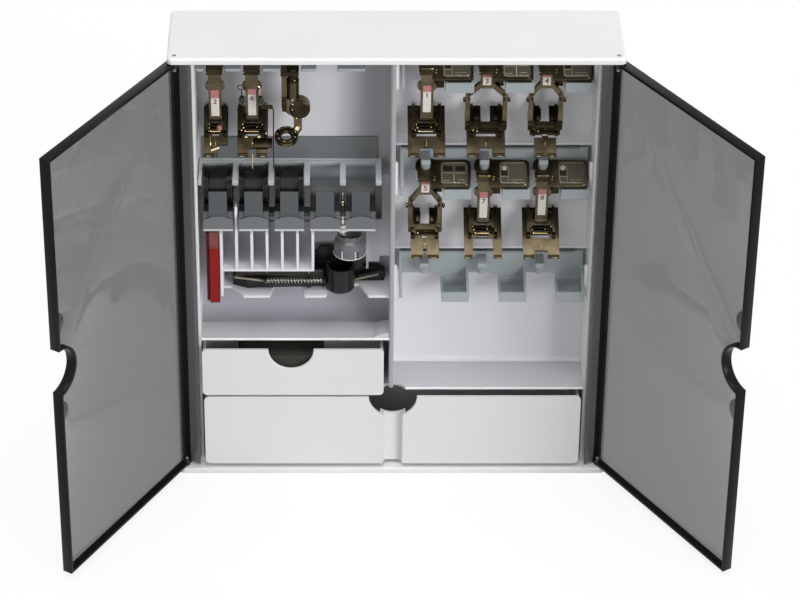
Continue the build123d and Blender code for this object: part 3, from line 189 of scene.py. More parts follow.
group, start, end, place = new_group("handling_marks", {"Size": 30.0, "Amount": 0.5}, ["Mask"])
smudge = add_node(group, "ShaderNodeTexNoise", {"Vector": place, "Scale": start.outputs["Size"]}, detail=4.0)
streak_place = add_node(group, "ShaderNodeMapping", {"Vector": place})
streak_place.inputs["Rotation"].default_value = (0.3, 0.7, 0.5)
streak_place.inputs["Scale"].default_value = (40, 900, 900)
streaks = add_node(group, "ShaderNodeTexNoise", {"Vector": streak_place.outputs[0]}, detail=1.0, scale=1.0)
sharp = add_node(group, "ShaderNodeMapRange", {"Value": streaks.outputs["Fac"]}, From_Min=0.66, From_Max=0.74)
soft = add_node(group, "ShaderNodeMapRange", {"Value": smudge.outputs["Fac"]}, From_Min=0.45, From_Max=0.75)
both = add_node(group, "ShaderNodeMath", {0: soft.outputs[0], 1: sharp.outputs[0]}, operation="ADD")
scaled = add_node(group, "ShaderNodeMath", {0: both.outputs[0], 1: start.outputs["Amount"]},
                  operation="MULTIPLY", use_clamp=True)
group.links.new(scaled.outputs[0], end.inputs["Mask"])
handling_marks = group

group, start, end, place = new_group("drawn_metal", {"Lines": 2200.0, "Patina": 160.0}, ["Height", "Tarnish"])
along = add_node(group, "ShaderNodeMapping", {"Vector": place})
along.inputs["Scale"].default_value = (1, 1, 0.06)
lines = add_node(group, "ShaderNodeTexNoise", {"Vector": along.outputs[0], "Scale": start.outputs["Lines"]},
                 detail=2.0)
patina = add_node(group, "ShaderNodeTexNoise", {"Vector": place, "Scale": start.outputs["Patina"]}, detail=4.0)
group.links.new(lines.outputs["Fac"], end.inputs["Height"])
group.links.new(patina.outputs["Fac"], end.inputs["Tarnish"])
drawn_metal = group
print("shared effects:", [g.name for g in bpy.data.node_groups])

# %% [markdown]
# ## Finishes
#
# One function builds every finish on a Principled shader. The grain goes through a Bump node, and a Bevel
# node rounds the sharp CAD edges in the shading, so that they catch the light as a moulded edge does. The
# tone drift moves the colour between two close shades.

# %% Finish builder
finishes = {}


def linear(code):
    """An sRGB colour written as six hex digits, as the linear values that a shader reads."""
    channels = [int(code[i:i + 2], 16) / 255 for i in (0, 2, 4)]
    return tuple(c / 12.92 if c < 0.04045 else ((c + 0.055) / 1.055) ** 2.4 for c in channels) + (1,)


def new_finish(name, light, dark, rough, metal=0.0, skin=moulded_skin, tone="Tone", bump=0.05, edge=0.3,
               marks=0.0, **sockets):
    """A Principled material between two shades, with grain, rounded edges and handling marks."""
    material = bpy.data.materials.new(name)
    material.use_nodes = True
    tree = material.node_tree
    shader = tree.nodes["Principled BSDF"]
    shader.inputs["Metallic"].default_value = metal
    for label, value in sockets.items():
        shader.inputs[label.replace("_", " ")].default_value = value
    surface = add_node(tree, "ShaderNodeGroup", node_tree=skin)
    spread = add_node(tree, "ShaderNodeMapRange", {"Value": surface.outputs[tone]}, From_Min=0.3, From_Max=0.7)
    blend = add_node(tree, "ShaderNodeMix", {"Factor": spread.outputs[0]}, data_type="RGBA")
    blend.inputs["A"].default_value = linear(dark)
    blend.inputs["B"].default_value = linear(light)
    tree.links.new(blend.outputs["Result"], shader.inputs["Base Color"])
    roughness = add_node(tree, "ShaderNodeMapRange", {"Value": surface.outputs[tone]}, To_Min=rough[0],
                         To_Max=rough[1])
    last = roughness.outputs[0]
    if marks:
        worn = add_node(tree, "ShaderNodeGroup", node_tree=handling_marks)
        worn.inputs["Amount"].default_value = marks
        last = add_node(tree, "ShaderNodeMath", {0: last, 1: worn.outputs["Mask"]}, operation="ADD",
                        use_clamp=True).outputs[0]
    tree.links.new(last, shader.inputs["Roughness"])
    rounded = add_node(tree, "ShaderNodeBevel", samples=4, radius=edge * MM)
    relief = add_node(tree, "ShaderNodeBump", {"Height": surface.outputs["Height"],
                                               "Normal": rounded.outputs[0]}, strength=bump, distance=0.1 * MM)
    tree.links.new(relief.outputs[0], shader.inputs["Normal"])
    finishes[name] = material


def new_metal(name, light, dark, rough, metal=1.0, bump=0.05, edge=0.3):
    """A finish with drawn lines and patches of tarnish."""
    new_finish(name, light, dark, rough, metal, drawn_metal, "Tarnish", bump, edge)


# %% [markdown]
# The cabinet has several whites: the shell, the cooler inside, the liner and shelves, whose greyer whites are
# painted shade, and the drawers. The racks are blue-grey, and the bobbin holder's darker grey is painted shade. All
# of them are satin plastic.

# %% Plastic finishes
new_finish("shell_white", "EBEBEA", "E6E6E5", (0.38, 0.48), marks=0.04)
new_finish("inner_white", "E4E4E8", "DDDDE2", (0.4, 0.5), edge=0.4)
new_finish("divider_white", "E4E4E8", "DDDDE2", (0.4, 0.5), edge=0.4)
# The liner's and the shelves' greyer whites are painted shade.
new_finish("liner_shade", "DADADF", "D2D2D8", (0.4, 0.5))
new_finish("shelf_white", "CBCBCF", "C3C3C8", (0.42, 0.52), edge=0.4)
new_finish("drawer_white", "E0E0E0", "DADADA", (0.36, 0.46), marks=0.05)
new_finish("rack_grey", "A3ABAD", "9AA2A5", (0.36, 0.46), edge=0.4)
# The holder's base grey, darker than the racks', is painted shade; its lips keep it.
new_finish("holder_grey", "727678", "6B6F71", (0.36, 0.46), edge=0.4)
# The saddles' dark grey is painted shade, like that of the troughs that they stand in.
new_finish("saddle_grey", "464A4C", "3F4345", (0.36, 0.46))
new_finish("foam_black", "38362F", "1C1B18", (0.85, 0.95), bump=0.6, edge=0.2)
new_finish("bobbin_black", "131314", "0D0D0E", (0.2, 0.3), Specular_IOR_Level=0.3)
new_finish("red_plastic", "8A1114", "7A0D10", (0.26, 0.36), Specular_IOR_Level=0.2)
new_finish("smoked", "262627", "1F1F20", (0.04, 0.07), bump=0.01, marks=0.02, Alpha=0.58)
new_finish("smoked_edge", "151516", "0E0E0F", (0.2, 0.28), bump=0.02, Specular_IOR_Level=0.1)
# The leaf is an opaque smoke lighter than the pane: painted light for the light that shows through it.
new_finish("smoked_leaf", "5A5A5C", "4C4C4E", (0.2, 0.28), bump=0.02)
new_finish("clear_insert", "6E6A5C", "565245", (0.06, 0.12), bump=0.25, Alpha=0.72)
new_finish("red_clear", "8E3A3A", "7C3030", (0.1, 0.16), Alpha=0.62)
new_finish("smoky_clear", "77777B", "66666A", (0.1, 0.16), Alpha=0.8)

# %% [markdown]
# The presser feet are plated a dark bronze that is nearly brown in shadow and flashes gold on its edges. A
# metal's Base Color is the colour of its reflection, so a mid brown with low roughness is enough.

# %% Metal finishes
new_metal("bronze_metal", "665C49", "4C4332", (0.2, 0.3), bump=0.06, edge=0.35)
# A darker copy of the bronze: painted shade for the fittings in the feet's hollows and on the spring and embroidery
# feet.
new_metal("bronze_dark", "3A3225", "252018", (0.2, 0.32), bump=0.08)
# Bright gold: real brass on the spindle's bead; on the feet its specks, rivets and bars are painted highlights.
new_metal("gold_and_painted_glint", "FFF3CF", "D9B56E", (0.06, 0.12), bump=0.02, edge=0.15)
new_metal("dark_metal", "3A3A3B", "2A2A2B", (0.3, 0.4), metal=0.8)
new_metal("bright_steel", "C9C6BF", "B4B0A8", (0.18, 0.26))
new_metal("pin_steel", "8E8C88", "77756F", (0.25, 0.32))
# Black: real on the embroidery foot's wires and screws; the strips in the feet's slots, the fork pins' cores and
# the strips in the rack slits are painted shadow.
new_finish("black_steel_and_painted_shadow", "161514", "0C0C0B", (0.2, 0.32), edge=0.15)
print(len(finishes), "finishes")

# %% [markdown]
# The bobbin holder is one moulding, and its greys are painted light and shade: its troughs are painted deep shade
# with painted light on their back walls, its lips are darker than its rails as painted shade, its rails are lighter
# as painted light with a painted highlight along their top, the plate above them is painted shade, and a pale line
# runs along the bottom of each lip. The shelves have a painted highlight along their front edge, the divider has
# painted shade on its front, and the left liner has painted shade at its sides and in its cove. These zones are cut
# by place, on Object coordinates, so that they stay put on the moulding.

# %% Zones of a moulding
def paint_zone(material, colour, *limits, soft=0.15):
    """Gives the places inside some limits, each (axis, "above" or "below", millimetres), another colour."""
    tree = material.node_tree
    socket = tree.nodes["Principled BSDF"].inputs["Base Color"]
    under = socket.links[0].from_socket
    place = add_node(tree, "ShaderNodeTexCoord")
    parts = add_node(tree, "ShaderNodeSeparateXYZ", {0: place.outputs["Object"]})
    mask = None
    for axis, side, edge in limits:
        near, far = (edge - soft, edge + soft) if side == "above" else (edge + soft, edge - soft)
        ramp = add_node(tree, "ShaderNodeMapRange", {"Value": parts.outputs[axis]}, From_Min=near * MM,
                        From_Max=far * MM)
        mask = ramp if mask is None else add_node(tree, "ShaderNodeMath", {0: mask.outputs[0], 1: ramp.outputs[0]},
                                                  operation="MULTIPLY")
    blend = add_node(tree, "ShaderNodeMix", {"Factor": mask.outputs[0], "A": under}, data_type="RGBA")
    blend.inputs["B"].default_value = linear(colour)
    tree.links.new(blend.outputs["Result"], socket)


CUP_FRONT, LIP_LINE, TROUGH_FLOOR, TROUGH_TOP = -18.7, 164.5, 175.0, 184.0
RAIL_LOW, RAIL_TOP, RAIL_HIGH = 192.1, 194.3, 194.9
holder = finishes["holder_grey"]
# Painted shade in the troughs and on the plate above the rails, painted light on the troughs' back walls and on the
# rails, a painted highlight along the rails' top, and a pale line along the bottom of each lip.
paint_zone(holder, "575B5D", ("Y", "above", CUP_FRONT), ("Z", "below", TROUGH_TOP))
paint_zone(holder, "35383A", ("Y", "above", CUP_FRONT), ("Z", "below", TROUGH_FLOOR), soft=0.5)
paint_zone(holder, "8F9799", ("Y", "above", CUP_FRONT), ("Z", "above", TROUGH_TOP), soft=2.0)
paint_zone(holder, "A3A8AA", ("Z", "above", RAIL_LOW))
paint_zone(holder, "D6DADC", ("Z", "above", RAIL_TOP))
paint_zone(holder, "6C7072", ("Z", "above", RAIL_HIGH))
paint_zone(holder, "C4C6C7", ("Z", "below", LIP_LINE), ("Y", "below", CUP_FRONT))

# Painted shade on the left liner: near the divider, in its top left corner and in its cove.
NEAR_DIVIDER, HOLDER_BACK, NEAR_WALL, FEET_BACK, COVE = -24.0, 150.0, -84.0, 205.0, 121.0
liner = finishes["liner_shade"]
paint_zone(liner, "A19FA4", ("X", "above", NEAR_DIVIDER), ("Z", "above", HOLDER_BACK), soft=11.0)
paint_zone(liner, "B4B2B7", ("X", "below", NEAR_WALL), ("Z", "above", FEET_BACK), soft=14.0)
paint_zone(liner, "A0A0A8", ("Z", "below", COVE), soft=14.0)

# A painted highlight along the shelves' front edges, and painted shade on the divider's front face.
SHELF_EDGE = -19.5
paint_zone(finishes["shelf_white"], "F6F6F8", ("Y", "below", SHELF_EDGE))
divider_front = min(v.co.y for v in frame["nodes"]["divider"].data.vertices) / MM
paint_zone(finishes["divider_white"], "A3A2A3", ("Y", "below", divider_front + 0.4))
print("divider starts at y", round(divider_front, 2))

# %% [markdown]
# The record says which finish each node has. A CAD node keeps its mesh, so only its material slot changes.
# Five mouldings have a finish of their own, because light falls on them differently.

# %% Finishes on the CAD nodes
for entry in frame["record"]["subparts"]:
    node = frame["nodes"][entry["node"]]
    node.data.materials.clear()
    node.data.materials.append(finishes[entry["material_slot"]])
for name, finish in (("bobbin_holder", "holder_grey"), ("left_shelf", "shelf_white"),
                     ("mid_shelf", "shelf_white"), ("divider", "divider_white"), ("left_liner", "liner_shade")):
    frame["nodes"][name].data.materials[0] = finishes[finish]

# %% [markdown]
# ## Making pieces
#
# Every new piece is made the same way: a bmesh grows from a simple shape with the bmesh operators, is set in
# place in millimetres, and ends as a mesh whose object sits at the origin. `finish_piece` does the last
# step, and tells the frame which body carries the piece and which finish it has.


def finish_piece(name, bm, finish, body, smooth=40, others=(), replaced=()):
    """Scales a bmesh from millimetres to metres and hands it to the frame as one piece."""
    bmesh.ops.remove_doubles(bm, verts=bm.verts, dist=0.001)
    bmesh.ops.recalc_face_normals(bm, faces=bm.faces)
    bmesh.ops.scale(bm, vec=(MM, MM, MM), verts=bm.verts)
    mesh = bpy.data.meshes.new(name)
    bm.to_mesh(mesh)
    bm.free()
    piece = bpy.data.objects.new(name, mesh)
    scene.collection.objects.link(piece)
    for used in (finish, *others):
        mesh.materials.append(finishes[used])
    mesh.shade_smooth()
    mesh.set_sharp_from_angle(angle=math.radians(smooth))
    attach(piece, body)
    if replaced:
        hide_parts(*replaced)


def parts_of(verts):
    """Some vertices with the edges and faces that touch them."""
    return verts + list({e for v in verts for e in v.link_edges}) + list({f for v in verts for f in v.link_faces})


def shift_new(bm, geom, vec):
    """Moves the vertices in what an operator has just made."""
    bmesh.ops.translate(bm, verts=[g for g in geom if isinstance(g, bmesh.types.BMVert)], vec=vec)


AIMS = {"X": Matrix.Rotation(math.pi / 2, 3, "Y"), "Y": Matrix.Rotation(-math.pi / 2, 3, "X"),
        "-Y": Matrix.Rotation(math.pi / 2, 3, "X"), "Z": Matrix.Identity(3)}


def aim(bm, verts, axis, place):
    """Turns what was made along Z to another axis, and moves it to its place."""
    bmesh.ops.rotate(bm, verts=verts, matrix=AIMS[axis], cent=ORIGIN)
    bmesh.ops.translate(bm, verts=verts, vec=place)
    return verts


def add_block(bm, size, place, turn=None, edge=0.2, segments=2):
    """A box with rounded edges, turned and then moved to its place."""
    made = bmesh.ops.create_cube(bm, size=1)["verts"]
    bmesh.ops.scale(bm, vec=size, verts=made)
    edges = list({e for v in made for e in v.link_edges})
    made = bmesh.ops.bevel(bm, geom=edges, offset=edge, segments=segments, profile=0.5, affect="EDGES",
                           material=-1, clamp_overlap=True)["verts"]
    made = list({v for v in made if v.is_valid})
    if turn is not None:
        bmesh.ops.rotate(bm, verts=made, matrix=turn, cent=ORIGIN)
    bmesh.ops.translate(bm, verts=made, vec=place)
    return made


def add_turned(bm, profile, place, axis="Z", steps=32):
    """Spins a profile of (radius, height) points about an axis through place, as on a lathe."""
    verts = [bm.verts.new((r, 0, h)) for r, h in profile]
    edges = [bm.edges.new(pair) for pair in zip(verts, verts[1:])]
    before = set(bm.verts) - set(verts)
    bmesh.ops.spin(bm, geom=verts + edges, cent=ORIGIN, axis=(0, 0, 1), angle=math.tau, steps=steps, use_merge=True)
    made = [v for v in bm.verts if v not in before]
    bmesh.ops.remove_doubles(bm, verts=made, dist=0.0005)
    return aim(bm, [v for v in bm.verts if v not in before], axis, place)


def add_coil(bm, radius, wire, length, turns, place, axis="Z", per_turn=14):
    """A coil spring: a small circle of wire spun and raised a little at each step, closed at both ends."""
    before = set(bm.verts)
    ring = bmesh.ops.create_circle(bm, segments=6, radius=wire, cap_ends=True)["verts"]
    aim(bm, ring, "-Y", (radius, 0, 0))
    steps = int(turns * per_turn)
    bmesh.ops.spin(bm, geom=parts_of(ring), cent=ORIGIN, axis=(0, 0, 1), dvec=(0, 0, length / steps),
                   angle=math.tau * turns, steps=steps)
    aim(bm, [v for v in bm.verts if v not in before], axis, place)


def add_wire(bm, points, radius, sides=6):
    """A bent wire through a few points, made as a chain of short cylinders that share rings at the bends."""
    points = [Vector(p) for p in points]
    rings = []
    for i, point in enumerate(points):
        ahead = (points[min(i + 1, len(points) - 1)] - points[max(i - 1, 0)]).normalized()
        ring = bmesh.ops.create_circle(bm, segments=sides, radius=radius, cap_ends=i in (0, len(points) - 1))
        turn = Vector((0, 0, 1)).rotation_difference(ahead).to_matrix()
        bmesh.ops.rotate(bm, verts=ring["verts"], matrix=turn, cent=ORIGIN)
        bmesh.ops.translate(bm, verts=ring["verts"], vec=point)
        rings.append(list({e for v in ring["verts"] for e in v.link_edges}))
    for low, high in zip(rings, rings[1:]):
        bmesh.ops.bridge_loops(bm, edges=low + high)


# %% [markdown]
# ## Doors
#
# Each door is one smoked moulding: a flat pane, a rim that stands 4 mm proud round it and round the finger
# notch, and a leaf that folds back round the cabinet's corner. The CAD builds it from butted bars. Seen
# through clear plastic their joints would show, so here the tray is one closed skin: the outline is filled,
# pulled to its full depth, and its pane is sunk between the rims.

# %% Door shapes
DOOR_LENGTH, DOOR_SIDE, DOOR_FACE, DOOR_DEPTH, DOOR_WALL, DOOR_RIM = 120.6, 4.1, 4.6, 6.0, 2.0, 1.8
DOOR_LOW, DOOR_HIGH, NOTCH_Z, NOTCH_R, LEAF = 3.7, 275.3, 141.0, 14.0, 7.1
PIVOT_X, PIVOT_Y, PIN_R, KNUCKLE_R, KNUCKLE_H = 120.9, -23.8, 1.3, 2.0, 3.8
PAD_R, PAD_H, PAD_SHIFT, CORNER_R, CRISP_R, GAP = 7.5, 1.2, 29.0, 2.0, 0.3, 0.02
PANE, EDGES, FOLD = 0, 1, 2  # material slots


def door_outline(bm):
    """The door's outline with its round notch, filled, in the pane's own plane: x along it and y up."""
    start = bm.verts.new((DOOR_LENGTH, NOTCH_Z - NOTCH_R, 0))
    arc = bmesh.ops.spin(bm, geom=[start], cent=(DOOR_LENGTH, NOTCH_Z, 0), axis=(0, 0, -1), angle=math.pi,
                         steps=20)
    last = [g for g in arc["geom_last"] if isinstance(g, bmesh.types.BMVert)][0]
    corners = [bm.verts.new(p) for p in ((DOOR_LENGTH, DOOR_HIGH, 0), (-DOOR_SIDE, DOOR_HIGH, 0),
                                         (-DOOR_SIDE, DOOR_LOW, 0), (DOOR_LENGTH, DOOR_LOW, 0))]
    for a, b in zip([last] + corners, corners + [start]):
        bm.edges.new((a, b))
    return bmesh.ops.edgenet_fill(bm, edges=bm.edges)["faces"]


def make_door(side, angle):
    """One smoked door with its rims, leaf, stops and knuckles, turned to the angle that it rests at."""
    bm = bmesh.new()
    flat = door_outline(bm)
    bmesh.ops.translate(bm, verts=bm.verts, vec=(0, 0, -DOOR_FACE))
    pulled = bmesh.ops.extrude_face_region(bm, geom=flat, use_keep_orig=True)["geom"]
    shift_new(bm, pulled, (0, 0, DOOR_DEPTH))
    top = [g for g in pulled if isinstance(g, bmesh.types.BMFace)]
    ring = bmesh.ops.inset_region(bm, faces=top, thickness=DOOR_RIM, use_even_offset=True)["faces"]
    sunk = bmesh.ops.extrude_face_region(bm, geom=top)["geom"]
    shift_new(bm, sunk, (0, 0, DOOR_WALL - DOOR_DEPTH))
    bmesh.ops.delete(bm, geom=[f for f in top if f.is_valid], context="FACES_ONLY")
    hinge_side = [f for f in ring if f.calc_center_median().x < 0]
    leaf = bmesh.ops.extrude_face_region(bm, geom=hinge_side)["geom"]
    shift_new(bm, leaf, (0, 0, LEAF + DOOR_FACE - DOOR_DEPTH))
    bmesh.ops.recalc_face_normals(bm, faces=bm.faces)
    corner = [e for e in bm.edges if all(abs(v.co.x + DOOR_SIDE) < 0.01 and abs(v.co.z + DOOR_FACE) < 0.01
                                         for v in e.verts)]
    bmesh.ops.bevel(bm, geom=corner, offset=CORNER_R, segments=5, profile=0.5, affect="EDGES", material=-1)
    crisp = [e for e in bm.edges if len(e.link_faces) == 2 and e.calc_face_angle() > 1.2]
    bmesh.ops.bevel(bm, geom=crisp, offset=CRISP_R, segments=2, profile=0.5, affect="EDGES", material=-1,
                    clamp_overlap=True)
    # The folded leaf takes the lighter opaque smoke, painted light for the light that shows through it.
    for face in bm.faces:
        height = face.calc_center_median().z
        standing = abs(face.normal.z) < 0.9 or height > DOOR_WALL - DOOR_FACE + 0.1
        folded = height > DOOR_DEPTH - DOOR_FACE + 0.4
        face.material_index = FOLD if folded else EDGES if standing else PANE
    rim_side = DOOR_LENGTH - DOOR_RIM - 0.05
    for shift in (-PAD_SHIFT, PAD_SHIFT):
        pad = add_turned(bm, [(0, GAP), (PAD_R, GAP), (PAD_R, PAD_H - 0.2), (PAD_R - 0.5, PAD_H), (0, PAD_H)],
                         (rim_side, NOTCH_Z + shift, DOOR_WALL - DOOR_FACE))
        cut = bmesh.ops.bisect_plane(bm, geom=parts_of(pad), plane_co=(rim_side, 0, 0), plane_no=(1, 0, 0),
                                     clear_outer=True)["geom_cut"]
        bmesh.ops.edgeloop_fill(bm, edges=[g for g in cut if isinstance(g, bmesh.types.BMEdge)])
    for low, high in ((DOOR_LOW + GAP, DOOR_LOW + KNUCKLE_H), (DOOR_HIGH - KNUCKLE_H, DOOR_HIGH - GAP)):
        add_turned(bm, [(PIN_R, low), (KNUCKLE_R, low), (KNUCKLE_R, high), (PIN_R, high), (PIN_R, low)], ORIGIN,
                   axis="Y")
    turn = math.radians(angle)
    along = Vector((-side * math.cos(turn), -math.sin(turn), 0))
    inward = Vector((-side * math.sin(turn), math.cos(turn), 0))
    place = Matrix((along, Vector((0, 0, 1)), inward)).transposed().to_4x4()
    place.translation = (side * PIVOT_X, PIVOT_Y, 0)
    bmesh.ops.transform(bm, matrix=place, verts=bm.verts)
    print("door faces", len(bm.faces))
    return bm


for word, side, angle in (("left", -1, 120.9), ("right", 1, 122.7)):
    finish_piece(f"{word}_door_shell", make_door(side, angle), "smoked", f"{word}_door", smooth=30,
                 others=["smoked_edge", "smoked_leaf"], replaced=[f"door_{word}"])

# %% [markdown]
# ## Presser feet
#
# Every foot hangs with its toe towards the viewer. Two planes place all of its details: the head's plane is
# tilted 30 degrees and the sole's 32. The sizes of the eight feet are the ones that the CAD source uses: the
# hook's height, the drop to the toe, the half width of a wishbone, and the distance to the side walls.

# %% Foot table
FRONT = -28.0
HOOKS = {"top": 266.0, "mid": 197.0}
FEET = {
    "foot_overlock": dict(x=-100.0, row="top", drop=53.0, fork=0, wall=5.0, width=13.6),
    "foot_embroidery": dict(x=-79.5, row="top", drop=53.0, fork=0, wall=7.0, width=17.0),
    "foot_reverse": dict(x=17.4, row="top", drop=53.0, fork=0, wall=7.2, width=20.8),
    "foot_buttonhole": dict(x=50.4, row="top", drop=53.0, fork=11.6, wall=8.0, width=21.4),
    "foot_zip": dict(x=83.4, row="top", drop=53.0, fork=9.6, wall=6.4, width=17.0),
    "foot_straight": dict(x=17.4, row="mid", drop=51.2, fork=9.6, wall=6.6, width=16.2),
    "foot_open_toe": dict(x=50.4, row="mid", drop=51.2, fork=0, wall=7.2, width=21.4),
    "foot_jeans": dict(x=83.4, row="mid", drop=51.2, fork=0, wall=7.2, width=20.8),
}
WINDOWED = ("foot_reverse", "foot_buttonhole", "foot_zip", "foot_straight", "foot_open_toe", "foot_jeans")


def tilted(origin, degrees):
    """A plane whose x is the world's x and whose normal leans towards the viewer by some degrees."""
    lean = math.radians(degrees)
    plane = Matrix.Rotation(lean, 4, "X")
    plane.translation = origin
    return plane


def head_plane(foot):
    return tilted((foot["x"], FRONT + 24.5, HOOKS[foot["row"]]), 30)


def sole_plane(foot):
    return tilted((foot["x"], FRONT + 22.0, HOOKS[foot["row"]] - foot["drop"] + 8.75), 32)


def label_plane(foot, height):
    """The plane on the front of a foot's neck at a height, with y up the neck and z out of it."""
    hook = HOOKS[foot["row"]]
    if foot["fork"]:
        return tilted((foot["x"], FRONT + 20.4, height), 90)
    neck_top, neck_low = hook - 3.6, hook - foot["drop"] + 16.6
    run, fall = 5.4, neck_top - neck_low
    depth = FRONT + 17.6 + run * (neck_top - height) / fall
    return tilted((foot["x"], depth, height), 90 + math.degrees(math.atan2(run, fall)))


# %% [markdown]
# A printed sticker runs down each neck: a red band above, white below, and a plain number. The digits are
# font outlines, turned to a mesh and pressed a hair into the paper.

# %% Labels
new_finish("label_paper", "E4E0D9", "DAD5CC", (0.5, 0.6), bump=0.02)
new_finish("label_band", "BC7A79", "B06C6C", (0.5, 0.6), bump=0.02)
new_finish("label_ink", "8C2A3C", "832436", (0.5, 0.6), bump=0.02)

# Each label's top and bottom, the height of its red band, and its number.
LABELS = {"foot_overlock": (248.6, 230.2, 5.6, "2"), "foot_embroidery": (249.4, 230.8, 3.8, "6"),
          "foot_reverse": (252.0, 233.0, 4.4, "1"), "foot_buttonhole": (259.1, 251.5, 2.6, "3"),
          "foot_zip": (259.1, 251.5, 2.4, "4"), "foot_straight": (189.4, 181.8, 2.2, "5"),
          "foot_open_toe": (182.7, 163.4, 4.2, "7"), "foot_jeans": (184.7, 165.4, 3.6, "8")}
LABEL_W, PAPER_T, PRESSED, DIGIT_SIZE = 4.5, 0.16, 0.02, 4.6


def move_on(bm, before, plane):
    """Puts everything that was made since before on a plane."""
    bmesh.ops.transform(bm, matrix=plane, verts=[v for v in bm.verts if v not in before])


def add_digits(bm, text, size, place):
    """Adds a number as a thin mesh, centred on a plane."""
    curve = bpy.data.curves.new("digits", "FONT")
    curve.body, curve.size, curve.resolution_u = text, size, 3
    curve.align_x = curve.align_y = "CENTER"
    curve.extrude, curve.offset = 0.03, 0.1
    carrier = bpy.data.objects.new("digits", curve)
    scene.collection.objects.link(carrier)
    shape = bpy.data.meshes.new_from_object(carrier.evaluated_get(bpy.context.evaluated_depsgraph_get()))
    before = set(bm.verts)
    bm.from_mesh(shape)
    move_on(bm, before, place)
    bpy.data.objects.remove(carrier)
    bpy.data.curves.remove(curve)
    bpy.data.meshes.remove(shape)


for name, (top, low, band, number) in LABELS.items():
    foot = FEET[name]
    sheet, strip, ink = bmesh.new(), bmesh.new(), bmesh.new()
    for target, high, bottom in ((strip, top, top - band), (sheet, top - band, low)):
        made = add_block(target, (LABEL_W, high - bottom, PAPER_T), (0, 0, PAPER_T / 2 - PRESSED), edge=0.04,
                         segments=1)
        bmesh.ops.transform(target, matrix=label_plane(foot, (high + bottom) / 2), verts=made)
    number_z = (top - band + low) / 2 if foot["fork"] else top - band - 2.6
    add_digits(ink, number, DIGIT_SIZE, label_plane(foot, number_z) @ Matrix.Translation((0, 0, PAPER_T)))
    finish_piece(f"{name}_label", sheet, "label_paper", name)
    finish_piece(f"{name}_label_band", strip, "label_band", name)
    finish_piece(f"{name}_label_number", ink, "label_ink", name)
print("labels:", len(LABELS))

# %% [markdown]
# ## Foot fittings
#
# Between its side walls a presser foot carries a hinge pin, ribs and tiny screws, and its toes end in turned-down
# tips. They are small, but their dark hollows and bright specks are what makes the row of feet look like plated
# metal: the fittings are a darker copy of the bronze as painted shade, the black strips in the slots and the pins'
# dark cores are painted shadow, and the bright gold screws, bars and specks are painted highlights. Each is a
# rivet, a pin or a block with rounded edges, set in the sole's plane, where x runs across, y runs from toe to heel
# and z stands up from the sole.

# %% Small metal parts
def add_rivet(bm, radius, height, place, axis="Z", steps=12):
    """A domed head that stands on the plane at its place."""
    return add_turned(bm, [(0, 0), (radius, 0), (radius, height * 0.4), (radius * 0.7, height * 0.85), (0, height)],
                      place, axis, steps)


def add_pin(bm, radius, length, place, axis="X", steps=14):
    """A straight pin with chamfered ends, centred at its place."""
    half, soft = length / 2, radius * 0.3
    return add_turned(bm, [(0, -half), (radius - soft, -half), (radius, soft - half), (radius, half - soft),
                           (radius - soft, half), (0, half)], place, axis, steps)


# %% [markdown]
# The same fittings serve every foot. Only the wall distance, the sole's width and the wishbone change.

# %% Fittings of the eight feet
TOE_Y, FORK_PIN_DROP = -15.3, 23.0
SLOT_HALF = {"foot_overlock": 0.4, "foot_embroidery": 2.0, "foot_reverse": 3.65, "foot_buttonhole": 3.3,
             "foot_zip": 0.5, "foot_straight": 0.9, "foot_open_toe": 5.7, "foot_jeans": 3.5}
ZIP_TIP = (3.4, 4.6)
